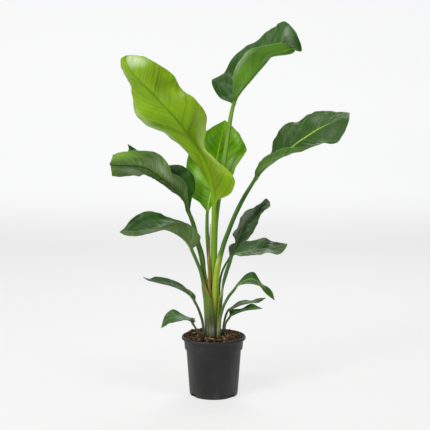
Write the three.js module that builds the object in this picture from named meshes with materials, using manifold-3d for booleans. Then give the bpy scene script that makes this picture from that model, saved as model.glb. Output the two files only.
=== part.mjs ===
// A potted bird of paradise: a plastic nursery pot filled with bark compost, and a fan of long-stalked
// leaves. Millimetres, +Z up. The origin is the centre of the pot's underside, and +X is the right of
// the fan.
import * as THREE from "three";
import { mergeVertices } from "three/addons/utils/BufferGeometryUtils.js";
import Module from "manifold-3d";

const wasm = await Module();
wasm.setup();

// The pot.
const POT_HEIGHT = 158;
const RIM_RADIUS = 85;
const LIP_HEIGHT = 9;
const BASE_RADIUS = 64;
const BODY_TOP_RADIUS = 72.5; // just under the step of the collar
const COLLAR_RADIUS = 76.5; // just over the step
const COLLAR_TOP_RADIUS = 79;
const COLLAR_LEVEL = 123.5;
const WALL = 2.4;
const FLOOR_LEVEL = 6; // the upper face of the pot's floor
const FOOT_HEIGHT = 3; // of the ring and the disc that the pot stands on
const FOOT_RING_WIDTH = 5;
const FOOT_DISC_RADIUS = 24;
const DRAIN_HOLES = 6;
const DRAIN_HOLE_RADIUS = 5;
const DRAIN_CIRCLE_RADIUS = 42;
const NOTCH_ANGLES = [-43, -147, 85]; // of the notches in the foot ring, in degrees from +X
const NOTCH_WIDTH = 21;
const NOTCH_HEIGHT = 5;
const POT_SIDES = 48;

// The compost.
const GAP = 0.4; // between the compost and what it touches
const SOIL_EDGE_LEVEL = 154.5;
const SOIL_CROWN_LEVEL = 158.5;
const SOIL_EDGE_RADIUS = 77.6;
const SOIL_BUMP = 2.6; // of the lumps, each way
const SOIL_HEAP = { height: 5.5, spread: 24, at: [-52, 42] };
const SOIL_RINGS = 8;
const SOIL_SIDES = 36;
const FOOT_LEVEL = 124; // where the stalks are cut in the compost
const SHOOT_CENTRE = [-2, 0];
const SHOOT_RADIUS = 22.4;

// The leaves.
const EDGE_THICKNESS = 1;
const BLADE_THICKNESS = 1.7;
const RIB_HALF_WIDTH_AT_TIP = 0.8;
const RIB_DEPTH_AT_TIP = 0.4;
const STEPS_A_ROW = 2;
const BLADE_ROW_LENGTH = 12; // numbers in a full row of a blade
const RIPPLE_HEIGHT = 0.035; // of a blade's margin, as a share of its half-width
const RIPPLE_TURNS = 2.1; // radians a row

// Each leaf is one piece: a foot in the compost, a stalk that starts as a sheath round the shoot, and a
// blade. outward is the side of the shoot that the leaf stands on, in degrees from +X. A leaf with a hole
// of its own grows from a side shoot, and the others stand together in one hole.
// A stalk row is [x, y, z, half-width, thickness, how far round the section bends, in radians].
// A blade row is [midrib, left margin, right margin, bow of the left half, bow of the right half], with
// left and right as seen on the upper side, looking to the tip. A bow is a share of the half's width, and
// below 0 the half is hollow. A row may end with how far out along the right half its bow lies, which is
// otherwise 0.5. The last row is the tip.
const LEAVES = [
  {
    name: "leaf_young",
    color: 0x86a81c,
    outward: -90,
    stalk: [
      [-1, -5.5, 124, 5, 7.5, 0.3],
      [-1, -5.5, 253, 5, 7.5, 0.3],
      [-0.2, -7, 355, 7.6, 9.4, 0.4],
      [0.6, -10, 434, 8, 10.4, 0.5],
      [0.8, -14, 503, 7.4, 9.6, 0.7],
    ],
    blade: [
      [[0, -15, 516], [10, -25, 520], [-4, -8, 517], 0, 0],
      [[-5, -22, 551], [45, -32, 539], [-10, -5, 551], 0.1, -0.1],
      [[-14, -31, 588], [52, -53, 581], [-27, 3, 585], 0.12, -0.15],
      [[-30, -41, 628], [16, -9, 615], [-55, 2, 622], 0.15, -0.15],
      [[-53, -52, 669], [-19, -5, 653], [-92, -5, 665], 0.12, -0.12],
      [[-78, -62, 706], [-22, -12, 695], [-130, -18, 694], 0.05, -0.1],
      [[-104, -68, 739], [-19, -38, 739], [-175, -42, 714], 0, -0.05],
      [[-130, -70, 766], [-44, -47, 777], [-200, -43, 746], 0, -0.06],
      [[-157, -68, 794], [-85, -23, 807], [-207, -22, 784], 0, -0.1],
      [[-183, -62, 820], [-104, -41, 842], [-218, -23, 824], -0.03, -0.12],
      [[-206, -53, 845], [-140, -51, 867], [-231, -30, 849], -0.08, -0.1],
      [[-219, -43, 866], [-173, -41, 884], [-237, -31, 870], -0.12, -0.04],
      [[-225, -35, 879], [-203, -13, 891], [-236, -23, 882], -0.12, 0],
      [[-223, -29, 889]],
    ],
  },
  {
    name: "leaf_top",
    color: 0x37652a,
    outward: 0,
    stalk: [
      [3.5, 3.6, 124, 4, 5.6, 0.4],
      [3.8, 3.6, 253, 4, 5.6, 0.4],
      [4.2, 4, 316, 4.4, 6.4, 0.4],
      [4.6, 5, 376, 5.4, 9, 0.4],
      [6.2, 4.4, 451, 5.8, 10.6, 0.4],
      [12.2, 2.4, 512, 6, 11.8, 0.42],
      [20.8, 3, 570, 6.6, 12.6, 0.45],
      [30.4, 1, 640, 6.6, 12.8, 0.45],
      [38.6, -1, 698, 6, 12, 0.45],
      [44.6, -3, 736, 5.6, 11, 0.45],
      [49.5, -4, 760, 5.2, 10, 0.5],
    ],
    blade: [
      [[52, -5, 770], [45, 1, 770], [48, -10, 777], 0, 0],
      [[61, -7, 788], [14, 15, 785], [48, -40, 796], -0.1, -0.2],
      [[74, -9, 805], [-6, 19, 827], [48, -63, 821], -0.14, -0.24],
      [[91, -11, 824], [26, 34, 846], [52, -67, 847], -0.12, -0.22],
      [[111, -13, 847], [49, 21, 884], [65, -63, 877], -0.1, -0.2],
      [[130, -15, 868], [80, 24, 914], [89, -67, 901], -0.1, -0.22],
      [[148, -17, 890], [114, 31, 931], [122, -75, 908], -0.1, -0.6],
      [[165, -18, 912], [143, 20, 956], [166, -74, 919], -0.1, -1.4],
      [[172, -18, 925], [155, 15, 964], [192, -66, 906], -0.09, -0.98],
      [[178, -17, 936], [167, 10, 972], [222, -49, 899], -0.08, -0.35],
      [[184, -14, 955], [181, 0, 977], [210, -41, 942], -0.05, -0.08],
      [[193, -10, 969]],
    ],
  },
  {
    name: "leaf_right",
    color: 0x3f6b2e,
    outward: 0,
    stalk: [
      [11.5, 0, 124, 25, 2.6, 1.85],
      [11.5, 0, 253, 25, 2.6, 1.85],
      [12.6, 0, 306, 22.8, 3.4, 1.62],
      [16.4, 0, 346, 21, 7.4, 1.5],
      [19.4, 0.5, 374, 14, 12, 1.2],
      [26.2, 1, 401, 7.6, 12.4, 0.5],
      [35, 2, 425, 7, 12, 0.45],
      [53.6, 3.5, 472.6, 6.6, 11.5, 0.45],
      [76.8, 5, 519.8, 6.2, 11, 0.45],
      [103.2, 5, 564, 5.4, 9.4, 0.5],
    ],
    blade: [
      [[111, 5, 575], [113, 12, 579], [107, 1, 581], 0, 0],
      [[121, 4, 589], [124, 28, 599], [107, -17, 596], -0.1, -0.25],
      [[136, 2, 604], [138, 43, 620], [115, -36, 614], -0.15, -0.3],
      [[154, 0, 617], [151, 51, 640], [130, -48, 631], -0.15, -0.34],
      [[175, -2, 632], [158, 48, 668], [151, -58, 644], -0.12, -0.38],
      [[195, -4, 649], [173, 36, 699], [177, -65, 656], -0.1, -0.55, 0.6],
      [[218, -6, 668], [191, 34, 716], [203, -67, 656], -0.05, -0.6, 0.75],
      [[241, -8, 684], [225, 44, 722], [236, -67, 661], -0.05, -0.46, 0.8],
      [[264, -9, 699], [249, 39, 741], [273, -60, 665], -0.08, -0.18, 0.7],
      [[287, -9, 711], [276, 35, 748], [313, -45, 668], -0.08, -0.05],
      [[312, -7, 721], [304, 29, 748], [333, -35, 694], -0.06, -0.05],
      [[334, -2, 732], [332, 19, 747], [347, -23, 722], 0, 0],
      [[352, 6, 744]],
    ],
  },
  {
    name: "leaf_back",
    color: 0x4f8f14,
    outward: 90,
    stalk: [
      [-7, 4.3, 124, 3.4, 5.4, 0.3],
      [-7.5, 4.8, 253, 3.4, 5.4, 0.3],
      [-12.4, 8, 353, 4.6, 6.6, 0.3],
      [-17.2, 13, 424, 4.6, 7, 0.35],
      [-17.4, 20, 474, 3.9, 6.6, 0.5],
    ],
    blade: [
      [[-16, 20, 485], [-20, 15, 488], [-12, 15, 488], 0, 0],
      [[-13, 26, 506], [-38, 34, 508], [1, 12, 509], -0.1, -0.1],
      [[-8, 33, 530], [-59, 56, 522], [24, 7, 527], -0.05, -0.12],
      [[-2, 41, 562], [-70, 66, 560], [43, 1, 561], -0.05, -0.14],
      [[3, 48, 594], [-73, 66, 597], [54, -3, 597], -0.05, -0.22],
      [[9, 54, 626], [-68, 62, 631], [74, 11, 629], -0.05, -0.2],
      [[15, 58, 656], [-52, 56, 663], [87, 39, 645], -0.05, -0.05],
      [[20, 60, 682], [-26, 23, 692], [76, 34, 673], -0.05, 0],
      [[25, 61, 704], [-2, 37, 707], [56, 36, 702], -0.04, 0],
      [[30, 60, 724]],
    ],
  },
  {
    name: "leaf_left",
    color: 0x5a7c4c,
    outward: 180,
    stalk: [
      [-18.1, 0, 124, 25.8, 2.6, 1.6],
      [-19.4, 0, 253, 24, 2.6, 1.45],
      [-24.2, 1, 306, 16, 6.5, 0.95],
      [-28.6, 2, 350, 10.5, 14, 0.7],
      [-33.6, 2, 377.5, 8, 14.5, 0.5],
      [-41, 1, 403, 7.2, 13.5, 0.45],
      [-51.5, -0.5, 448, 6.4, 11.6, 0.45],
      [-59.8, -2, 473, 5.8, 10.8, 0.5],
    ],
    blade: [
      [[-67, -3, 492], [-65, -8, 496], [-62, 1, 493], 0, 0],
      [[-73, -5, 512], [-67, -22, 529], [-58, 12, 515], -0.1, -0.6, -0.1],
      [[-85, -8, 532], [-68, -36, 557], [-49, 20, 546], -0.12, -0.62, -0.25],
      [[-102, -11, 550], [-81, -44, 576], [-55, 28, 579], -0.12, -0.62, -0.35],
      [[-121, -14, 568], [-105, -45, 590], [-82, 32, 606], -0.12, -0.6, -0.35],
      [[-143, -16, 583], [-119, -30, 617], [-117, 36, 607], -0.1, -0.6, -0.3],
      [[-167, -17, 598], [-143, -8, 639], [-153, 42, 596], -0.08, -0.6, -0.1],
      [[-192, -16, 606], [-176, 8, 646], [-187, 38, 583], -0.06, -0.4, 0.2],
      [[-219, -13, 608], [-215, 18, 644], [-219, 30, 578], -0.04, -0.16],
      [[-248, -5, 608], [-249, 26, 640], [-255, 20, 576], -0.02, -0.06],
      [[-270, 11, 610], [-266, 36, 634], [-267, 25, 585], 0, 0],
      [[-261, 34, 623], [-258, 54, 626], [-259, 50, 609], 0, 0],
      [[-236, 48, 633], [-240, 58, 632], [-220, 60, 631], 0, 0],
      [[-217, 54, 647], [-226, 59, 645], [-200, 60, 641], 0, 0],
      [[-227, 52, 661]],
    ],
  },
  {
    name: "leaf_left_mid",
    color: 0x44702f,
    outward: 200,
    stalk: [
      [-21.4, -7.1, 124, 31.8, 2.4, 1.54],
      [-22.2, -7.5, 196, 30.3, 2.4, 1.466],
      [-25, -9, 253, 27.3, 2.8, 1.33],
      [-28.4, -10.8, 286, 15.2, 5, 1.1],
      [-28.3, -11.2, 303, 8.2, 7.8, 0.65],
      [-34.4, -12, 332, 6, 8.6, 0.5],
      [-43.6, -13, 356, 5.4, 8.6, 0.45],
      [-51, -14, 374, 5.2, 8.6, 0.5],
    ],
    blade: [
      [[-58, -13, 391], [-54, -17, 394], [-60, -9, 395], 0, 0],
      [[-65, -14, 403], [-43, -34, 404], [-62, -3, 411], -0.15, -0.1],
      [[-77, -15, 417], [-34, -43, 427], [-65, 0, 435], -0.18, -0.15],
      [[-95, -16, 430], [-57, -45, 455], [-78, 8, 458], -0.18, -0.15],
      [[-118, -17, 441], [-90, -54, 465], [-106, 28, 465], -0.2, -0.12],
      [[-142, -17, 444], [-126, -62, 458], [-137, 28, 477], -0.3, -0.1],
      [[-167, -17, 438], [-156, -62, 451], [-167, 14, 487], -0.35, -0.08],
      [[-192, -17, 430], [-186, -58, 444], [-194, 4, 482], -0.35, -0.05],
      [[-215, -16, 426], [-213, -46, 442], [-217, -5, 466], -0.3, 0],
      [[-232, -14, 428], [-231, -27, 438], [-232, -4, 446], -0.1, 0],
      [[-245, -12, 435]],
    ],
  },
  {
    name: "leaf_right_high",
    color: 0x35502c,
    outward: -25,
    stalk: [
      [16.7, -8.7, 124, 13.2, 2.4, 0.635],
      [17.2, -9.1, 196, 13.2, 2.4, 0.635],
      [20.6, -11, 253, 11.4, 3.4, 0.6],
      [23.2, -13.5, 286, 7, 6, 0.5],
      [27.2, -16, 308, 5, 7.2, 0.45],
      [33.8, -19, 332, 4.6, 7.4, 0.4],
      [41, -24, 354, 4.4, 7, 0.5],
    ],
    blade: [
      [[48, -27, 374], [46, -29, 378], [52, -29, 377], 0, 0],
      [[57, -30, 398], [54, -38, 402], [67, -39, 400], -0.1, -0.1],
      [[62, -32, 417], [55, -47, 421], [85, -46, 417], -0.15, -0.15],
      [[69, -33, 436], [49, -54, 436], [100, -50, 436], -0.15, -0.15],
      [[78, -34, 453], [59, -60, 451], [109, -56, 455], -0.2, -0.15],
      [[91, -34, 466], [69, -60, 476], [115, -63, 472], -0.15, -0.2],
      [[105, -33, 480], [83, -55, 494], [120, -65, 486], -0.15, -0.25],
      [[118, -31, 494], [103, -53, 504], [128, -57, 495], -0.15, -0.25],
      [[131, -28, 507], [122, -43, 514], [140, -43, 501], -0.1, -0.15],
      [[140, -25, 514], [135, -28, 524], [146, -29, 504], 0, 0],
      [[145, -24, 515]],
    ],
  },
  {
    name: "leaf_right_mid",
    color: 0x3f6233,
    outward: 40,
    stalk: [
      [13.7, 13.2, 124, 4.2, 2.6, 0.22],
      [14.2, 13.6, 226, 4.2, 3, 0.25],
      [15.2, 14.5, 286, 3.8, 4.4, 0.3],
      [21.2, 16, 322, 3.4, 5.2, 0.4],
      [31.5, 17.5, 345, 3.4, 5.2, 0.5],
    ],
    blade: [
      [[41, 18, 363], [42, 20, 368], [44, 15, 366], 0, 0],
      [[54, 18, 372], [41, 34, 391], [46, 9, 378], -0.15, -0.2],
      [[72, 17, 376], [62, 42, 401], [69, -2, 370], -0.12, -0.2],
      [[94, 15, 381], [90, 46, 403], [92, -14, 373], -0.1, -0.2],
      [[117, 12, 385], [113, 44, 406], [117, -21, 377], -0.1, -0.2],
      [[138, 9, 389], [133, 33, 415], [141, -22, 382], -0.1, -0.15],
      [[158, 5, 392], [155, 30, 405], [169, -11, 375], -0.05, -0.1],
      [[177, 0, 397], [175, 14, 403], [185, -8, 387], 0, 0],
      [[193, -4, 402]],
    ],
  },
  {
    name: "leaf_left_low",
    color: 0x3d5f2f,
    outward: 180,
    ownHole: true,
    stalk: [
      [-24.5, -19.5, 124, 4.2, 5, 0.4],
      [-28, -19.9, 188, 4.2, 6.8, 0.4],
      [-33.4, -20, 214, 3.8, 7, 0.4],
      [-41.6, -20.5, 237, 3.4, 6.4, 0.5],
    ],
    blade: [
      [[-51, -19, 255], [-48, -21, 257], [-52, -17, 257], 0, 0],
      [[-58, -19, 265], [-48, -27, 269], [-57, -9, 273], -0.15, -0.1],
      [[-72, -20, 277], [-61, -30, 284], [-69, -6, 282], -0.2, -0.1],
      [[-91, -20, 287], [-82, -36, 294], [-86, -3, 296], -0.25, -0.1],
      [[-112, -21, 295], [-106, -40, 301], [-110, -3, 308], -0.25, -0.1],
      [[-134, -21, 300], [-129, -39, 306], [-133, -5, 314], -0.25, -0.1],
      [[-155, -21, 305], [-152, -36, 309], [-154, -8, 316], -0.15, -0.05],
      [[-170, -21, 309], [-168, -29, 308], [-168, -14, 312], 0, 0],
      [[-184, -20, 317]],
    ],
  },
  {
    name: "leaf_left_lowest",
    color: 0x4f7a3a,
    outward: 180,
    ownHole: true,
    stalk: [
      [-30, -26.5, 124, 3, 4.6, 0.3],
      [-36, -27.5, 160, 3.2, 5.4, 0.3],
      [-46, -29.5, 182, 3, 5.2, 0.5],
    ],
    blade: [
      [[-55, -30, 197], [-52, -32, 199], [-55, -28, 201], 0, 0],
      [[-61, -31, 204], [-48, -33, 204], [-49, -29, 209], -0.2, -0.2],
      [[-74, -32, 209], [-73, -50, 210], [-68, -16, 211], -0.1, -0.1],
      [[-89, -33, 213], [-86, -53, 208], [-88, -12, 220], -0.1, -0.1],
      [[-105, -34, 213], [-101, -55, 204], [-106, -19, 232], -0.1, -0.1],
      [[-118, -34, 209], [-116, -51, 201], [-124, -17, 220], -0.1, -0.05],
      [[-129, -34, 200], [-126, -41, 192], [-132, -24, 204], 0, 0],
      [[-137, -33, 185]],
    ],
  },
  {
    name: "leaf_right_low",
    color: 0x4a7238,
    outward: -62,
    ownHole: true,
    stalk: [
      [10.5, -26.5, 124, 4.6, 4, 0.4],
      [12, -26.5, 162, 4.6, 4.6, 0.4],
      [16.5, -26, 206, 4.4, 5.4, 0.4],
      [25.1, -23.5, 238, 4.2, 7, 0.4],
      [38.3, -17, 263.8, 4, 7.2, 0.4],
      [53.2, -8.5, 281, 3.6, 6.4, 0.5],
    ],
    blade: [
      [[62, -5, 293], [60, -3, 295], [65, -7, 292], 0, 0],
      [[73, -4, 300], [70, 7, 304], [73, -16, 297], -0.1, -0.1],
      [[86, -4, 307], [85, 10, 320], [88, -19, 299], -0.1, -0.15],
      [[101, -4, 310], [105, 10, 326], [104, -17, 297], -0.1, -0.15],
      [[114, -5, 303], [118, 12, 308], [115, -17, 295], -0.15, -0.1],
      [[125, -5, 293], [128, 6, 295], [122, -15, 291], -0.1, -0.1],
      [[139, -6, 281], [143, -14, 289], [133, -15, 276], -0.1, -0.1],
      [[150, -6, 269], [154, -9, 276], [145, -13, 265], 0, 0],
      [[160, -6, 254]],
    ],
  },
  {
    name: "leaf_pair_upper",
    color: 0x3f6321,
    outward: 0,
    ownHole: true,
    stalk: [
      [24.2, 3.5, 124, 2.8, 3.4, 0.3],
      [25.4, 4, 180, 3, 4.4, 0.3],
      [32.6, 5, 212, 3, 4.6, 0.5],
    ],
    blade: [
      [[39, 4, 225], [37, 6, 227], [42, 2, 225], 0, 0],
      [[50, 4, 232], [48, 13, 232], [53, -4, 231], -0.1, -0.1],
      [[67, 4, 241], [65, 17, 245], [69, -10, 239], -0.1, -0.2],
      [[84, 5, 246], [83, 20, 249], [85, -10, 243], -0.1, -0.2],
      [[101, 6, 248], [100, 19, 247], [101, -6, 246], -0.05, -0.1],
      [[118, 6, 251], [116, 15, 254], [119, -2, 246], 0, -0.1],
      [[137, 6, 257]],
    ],
  },
  {
    name: "leaf_pair_lower",
    color: 0x3a6a22,
    outward: 0,
    ownHole: true,
    stalk: [
      [25.4, -10, 124, 2.8, 3.4, 0.3],
      [30.4, -10, 186, 3, 4.6, 0.3],
      [38, -11, 203, 3, 4.6, 0.5],
    ],
    blade: [
      [[45, -11, 212], [42, -9, 216], [48, -13, 212], 0, 0],
      [[54, -11, 219], [43, -9, 229], [55, -22, 218], -0.1, -0.15],
      [[69, -12, 225], [71, 2, 229], [71, -26, 226], -0.1, -0.2],
      [[86, -12, 230], [89, 2, 238], [88, -26, 230], -0.1, -0.2],
      [[103, -13, 233], [102, -2, 243], [105, -25, 232], -0.1, -0.1],
      [[116, -13, 233], [116, -6, 237], [117, -20, 232], 0, 0],
      [[128, -13, 232]],
    ],
  },
];

// A thin brown strip of a sheath that dried, standing at the front of the shoot. Its rows are those of a
// stalk.
const DRIED_STRIP = [
  [-5.5, -18, 124, 2.2, 1, 0.25],
  [-5.8, -18.2, 200, 2.4, 1, 0.25],
  [-8, -18.4, 253, 3, 1.1, 0.25],
  [-12, -16, 300, 3.6, 1.2, 0.3],
  [-11.6, -13.4, 330, 4, 1.2, 0.35],
  [-11.6, -10, 365, 3.2, 1.2, 0.35],
  [-10.9, -7.5, 398, 2.4, 1.1, 0.3],
  [-9.6, -7, 430, 1.4, 1, 0.2],
  [-8.4, -7.5, 456, 0.6, 0.9, 0.1],
];

const clamp = (value, least, most) => Math.min(Math.max(value, least), most);
const mix = (a, b, share) => a + (b - a) * share;
const ease = (share) => share * share * (3 - 2 * share);
const vector = (values) => new THREE.Vector3(...values.slice(0, 3));

// A smooth curve through the rows of a list, read at a whole or broken index.
function rowAt(rows, at) {
  const i = clamp(Math.floor(at), 0, rows.length - 2);
  const t = at - i;
  const near = (k) => rows[clamp(k, 0, rows.length - 1)];
  return rows[i].map((b, k) => {
    const [a, c, d] = [near(i - 1)[k], near(i + 1)[k], near(i + 2)[k]];
    return b + 0.5 * t * (c - a + t * (2 * a - 5 * b + 4 * c - d + t * (3 * (b - c) + d - a)));
  });
}

// The direction of the curve through the first three numbers of each row.
function headingAt(rows, at) {
  const step = 0.05;
  const ahead = vector(rowAt(rows, Math.min(at + step, rows.length - 1)));
  return ahead.sub(vector(rowAt(rows, Math.max(at - step, 0)))).normalize();
}

// A ring of a stalk: its inner face from left to right, then its outer face back.
function stalkRing(row, side, heading, across, grown = 0) {
  const half = row[3] + grown;
  const thickness = row[4] + 2 * grown;
  const radius = row[3] / row[5];
  const up = new THREE.Vector3().crossVectors(side, heading);
  const point = (q, sign) => {
    const angle = (q * half) / radius;
    const reach = radius - (sign * thickness * Math.sqrt(1 - 0.9 * q * q)) / 2;
    return vector(row)
      .addScaledVector(side, reach * Math.sin(angle))
      .addScaledVector(up, radius - reach * Math.cos(angle));
  };
  const spread = Array.from({ length: across }, (_, k) => (2 * k) / (across - 1) - 1);
  return [...spread.map((q) => point(q, 1)), ...spread.toReversed().map((q) => point(q, -1))];
}

// The rings of a stalk from its foot up. It turns from the side of the shoot it stands on to the way its
// blade faces.
function stalkRings(leaf, across, grown = 0) {
  const outward = THREE.MathUtils.degToRad(leaf.outward);
  const footSide = new THREE.Vector3(Math.sin(outward), -Math.cos(outward), 0);
  const base = leaf.blade[0];
  const bladeSide = vector(base[2]).sub(vector(base[1])).normalize();
  const path = [...leaf.stalk.map((row) => row.slice(0, 3)), base[0]];
  return leaf.stalk.map((row, i) => {
    const heading = i ? headingAt(path, i) : new THREE.Vector3(0, 0, 1);
    const turn = ease(clamp((1.4 * i) / (leaf.stalk.length - 1) - 0.4, 0, 1));
    const side = footSide.clone().lerp(bladeSide, turn);
    side.addScaledVector(heading, -side.dot(heading)).normalize();
    return stalkRing(row, side, heading, across, grown);
  });
}

// A blade's rows as plain lists of one length. The tip is a very short margin to margin line.
function bladeRows(leaf) {
  const rows = leaf.blade.map((row) => row.flat());
  const tip = rows.pop();
  const before = rows.at(-1);
  const tipSide = vector(before.slice(6)).sub(vector(before.slice(3))).setLength(EDGE_THICKNESS);
  const ends = [-1, 1].map((sign) => vector(tip).addScaledVector(tipSide, sign).toArray());
  rows.push([...tip, ...ends.flat(), 0, 0]);
  return rows.map((row) => (row.length < BLADE_ROW_LENGTH ? [...row, 0.5] : row));
}

// A point of a blade's middle surface, at a row and at q from -1, the left margin, to 1, the right margin.
function bladePoint(rows, at, q) {
  const row = rowAt(rows, at);
  const [midrib, left, right] = [0, 3, 6].map((k) => vector(row.slice(k)));
  const margin = q < 0 ? left : right;
  const half = margin.clone().sub(midrib);
  const width = half.length();
  if (q < 0) half.negate();
  const up = half.cross(headingAt(rows, at)).normalize();
  const bow = row[q < 0 ? 9 : 10] * width;
  const control = midrib.clone().lerp(margin, q < 0 ? 0.5 : row[11]).addScaledVector(up, bow);
  const s = Math.abs(q);
  const ripple = RIPPLE_HEIGHT * width * s * s * Math.sin(RIPPLE_TURNS * at + (q < 0 ? 0 : 2));
  return midrib
    .multiplyScalar((1 - s) ** 2)
    .addScaledVector(control, 2 * s * (1 - s))
    .addScaledVector(margin, s * s)
    .addScaledVector(up, ripple);
}

// The blade's upward direction at the same place.
function bladeNormal(rows, at, q) {
  const step = 0.04;
  const last = rows.length - 1;
  const over = bladePoint(rows, at, Math.min(q + step, 1));
  over.sub(bladePoint(rows, at, Math.max(q - step, -1)));
  const along = bladePoint(rows, Math.min(at + step, last), q);
  along.sub(bladePoint(rows, Math.max(at - step, 0), q));
  return over.cross(along).normalize();
}

// The rings of a blade, in the order of a stalk's rings. The midrib is a ridge under the blade.
function bladeRings(leaf, across) {
  const rows = bladeRows(leaf);
  const last = rows.length - 1;
  const base = leaf.stalk.at(-1);
  const count = last * STEPS_A_ROW;
  return Array.from({ length: count + 1 }, (_, k) => {
    const at = k / STEPS_A_ROW;
    const along = k / count;
    const row = rowAt(rows, at);
    const rib = mix(0.8 * base[3], RIB_HALF_WIDTH_AT_TIP, Math.sqrt(along));
    const depth = mix(0.6 * base[4], RIB_DEPTH_AT_TIP, Math.sqrt(along));
    const ring = { upper: [], lower: [] };
    for (const [side, start] of [[-1, 3], [1, 6]]) {
      const width = vector(row.slice(start)).distanceTo(vector(row));
      const ribEdge = clamp(rib / width, 0.03, 0.5);
      const half = { upper: [], lower: [] };
      for (let step = 0; step < across / 2; step++) {
        const share = step / (across / 2 - 1);
        const q = side * mix(ribEdge, 1, share);
        const centre = bladePoint(rows, at, q);
        const up = bladeNormal(rows, at, q);
        const lift = mix(BLADE_THICKNESS, EDGE_THICKNESS, share) / 2;
        half.upper.push(centre.clone().addScaledVector(up, lift));
        half.lower.push(centre.clone().addScaledVector(up, -lift - (step ? 0 : depth)));
      }
      for (const face of ["upper", "lower"])
        ring[face].push(...(side < 0 ? half[face].reverse() : half[face]));
    }
    return [...ring.upper, ...ring.lower.toReversed()];
  });
}

// A closed skin over rings of points, with a flat cap at each end. Both faces of a blade are split alike.
function loft(rings) {
  const n = rings[0].length;
  const across = n / 2;
  const index = [];
  const quad = (a, b, c, d) => index.push(a, b, c, a, c, d);
  for (let i = 0; i + 1 < rings.length; i++)
    for (let k = 0; k < n; k++) {
      const next = (k + 1) % n;
      const [a, b, c, d] = [i * n + k, i * n + next, (i + 1) * n + next, (i + 1) * n + k];
      if (k < across - 1) quad(a, b, c, d);
      else quad(b, c, d, a);
    }
  const top = (rings.length - 1) * n;
  for (let k = 0; k < across - 1; k++) {
    const [lowerLeft, lowerRight] = [n - 1 - k, n - 2 - k];
    quad(k, lowerLeft, lowerRight, k + 1);
    quad(top + k, top + k + 1, top + lowerRight, top + lowerLeft);
  }
  const geometry = new THREE.BufferGeometry().setFromPoints(rings.flat());
  return geometry.setIndex(index);
}

// A solid for cutting and joining, from any closed geometry.
function solidOf(geometry) {
  const bare = geometry.clone();
  bare.deleteAttribute("normal");
  bare.deleteAttribute("uv");
  const merged = mergeVertices(bare, 1e-4);
  const vertProperties = merged.attributes.position.array;
  return new wasm.Manifold(
    new wasm.Mesh({ numProp: 3, vertProperties, triVerts: new Uint32Array(merged.index.array) }),
  );
}

function geometryOf(solid) {
  const { vertProperties, triVerts } = solid.getMesh();
  return new THREE.BufferGeometry()
    .setAttribute("position", new THREE.BufferAttribute(vertProperties, 3))
    .setIndex(new THREE.BufferAttribute(triVerts, 1));
}

// An upright round bar.
function bar(radius, bottom, top, [x, y], sides = 32) {
  const geometry = new THREE.CylinderGeometry(radius, radius, top - bottom, sides);
  return geometry.rotateX(Math.PI / 2).translate(x, y, (top + bottom) / 2);
}

// A turned solid about the Z axis from [radius, height] pairs.
function turned(profile, sides) {
  const points = profile.map(([radius, height]) => new THREE.Vector2(radius, height));
  return new THREE.LatheGeometry(points, sides).rotateX(Math.PI / 2);
}

// The pot's outer and inner walls, each from the floor to the lip, as [radius, height] pairs.
const outerWall = [
  [BASE_RADIUS - 1.5, 0],
  [BASE_RADIUS, 4],
  [BODY_TOP_RADIUS, COLLAR_LEVEL - 2],
  [COLLAR_RADIUS, COLLAR_LEVEL],
  [COLLAR_TOP_RADIUS, POT_HEIGHT - LIP_HEIGHT],
];
const innerWall = [
  [BASE_RADIUS - WALL, FLOOR_LEVEL],
  [BODY_TOP_RADIUS - WALL, COLLAR_LEVEL],
  [COLLAR_RADIUS - WALL, COLLAR_LEVEL + 3],
  [COLLAR_TOP_RADIUS - WALL, POT_HEIGHT - LIP_HEIGHT],
  [RIM_RADIUS - 5.5, POT_HEIGHT - 2],
];

function potGeometry() {
  const lip = [
    [RIM_RADIUS - 1, POT_HEIGHT - LIP_HEIGHT + 0.5],
    [RIM_RADIUS, POT_HEIGHT - LIP_HEIGHT + 3],
    [RIM_RADIUS, POT_HEIGHT - 4],
    [RIM_RADIUS - 1.5, POT_HEIGHT - 1],
    [RIM_RADIUS - 3, POT_HEIGHT],
    [RIM_RADIUS - 4.5, POT_HEIGHT - 0.4],
  ];
  const ringInside = BASE_RADIUS - FOOT_RING_WIDTH;
  const profile = [
    [0, 0],
    [FOOT_DISC_RADIUS, 0],
    [FOOT_DISC_RADIUS, FOOT_HEIGHT],
    [ringInside, FOOT_HEIGHT],
    [ringInside, 0],
    ...outerWall,
    ...lip,
    ...innerWall.toReversed(),
    [0, FLOOR_LEVEL],
  ];
  let pot = solidOf(turned(profile, POT_SIDES));
  for (let i = 0; i < DRAIN_HOLES; i++) {
    const angle = ((i + 0.5) / DRAIN_HOLES) * 2 * Math.PI;
    const place = [DRAIN_CIRCLE_RADIUS * Math.cos(angle), DRAIN_CIRCLE_RADIUS * Math.sin(angle)];
    pot = pot.subtract(solidOf(bar(DRAIN_HOLE_RADIUS, -1, FLOOR_LEVEL + 1, place, 16)));
  }
  for (const degrees of NOTCH_ANGLES) {
    const notch = new THREE.BoxGeometry(2 * FOOT_RING_WIDTH, NOTCH_WIDTH, 2 * NOTCH_HEIGHT);
    notch.translate(BASE_RADIUS + FOOT_RING_WIDTH - WALL - 2, 0, 0);
    notch.rotateZ(THREE.MathUtils.degToRad(degrees));
    pot = pot.subtract(solidOf(notch));
  }
  return geometryOf(pot);
}

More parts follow.
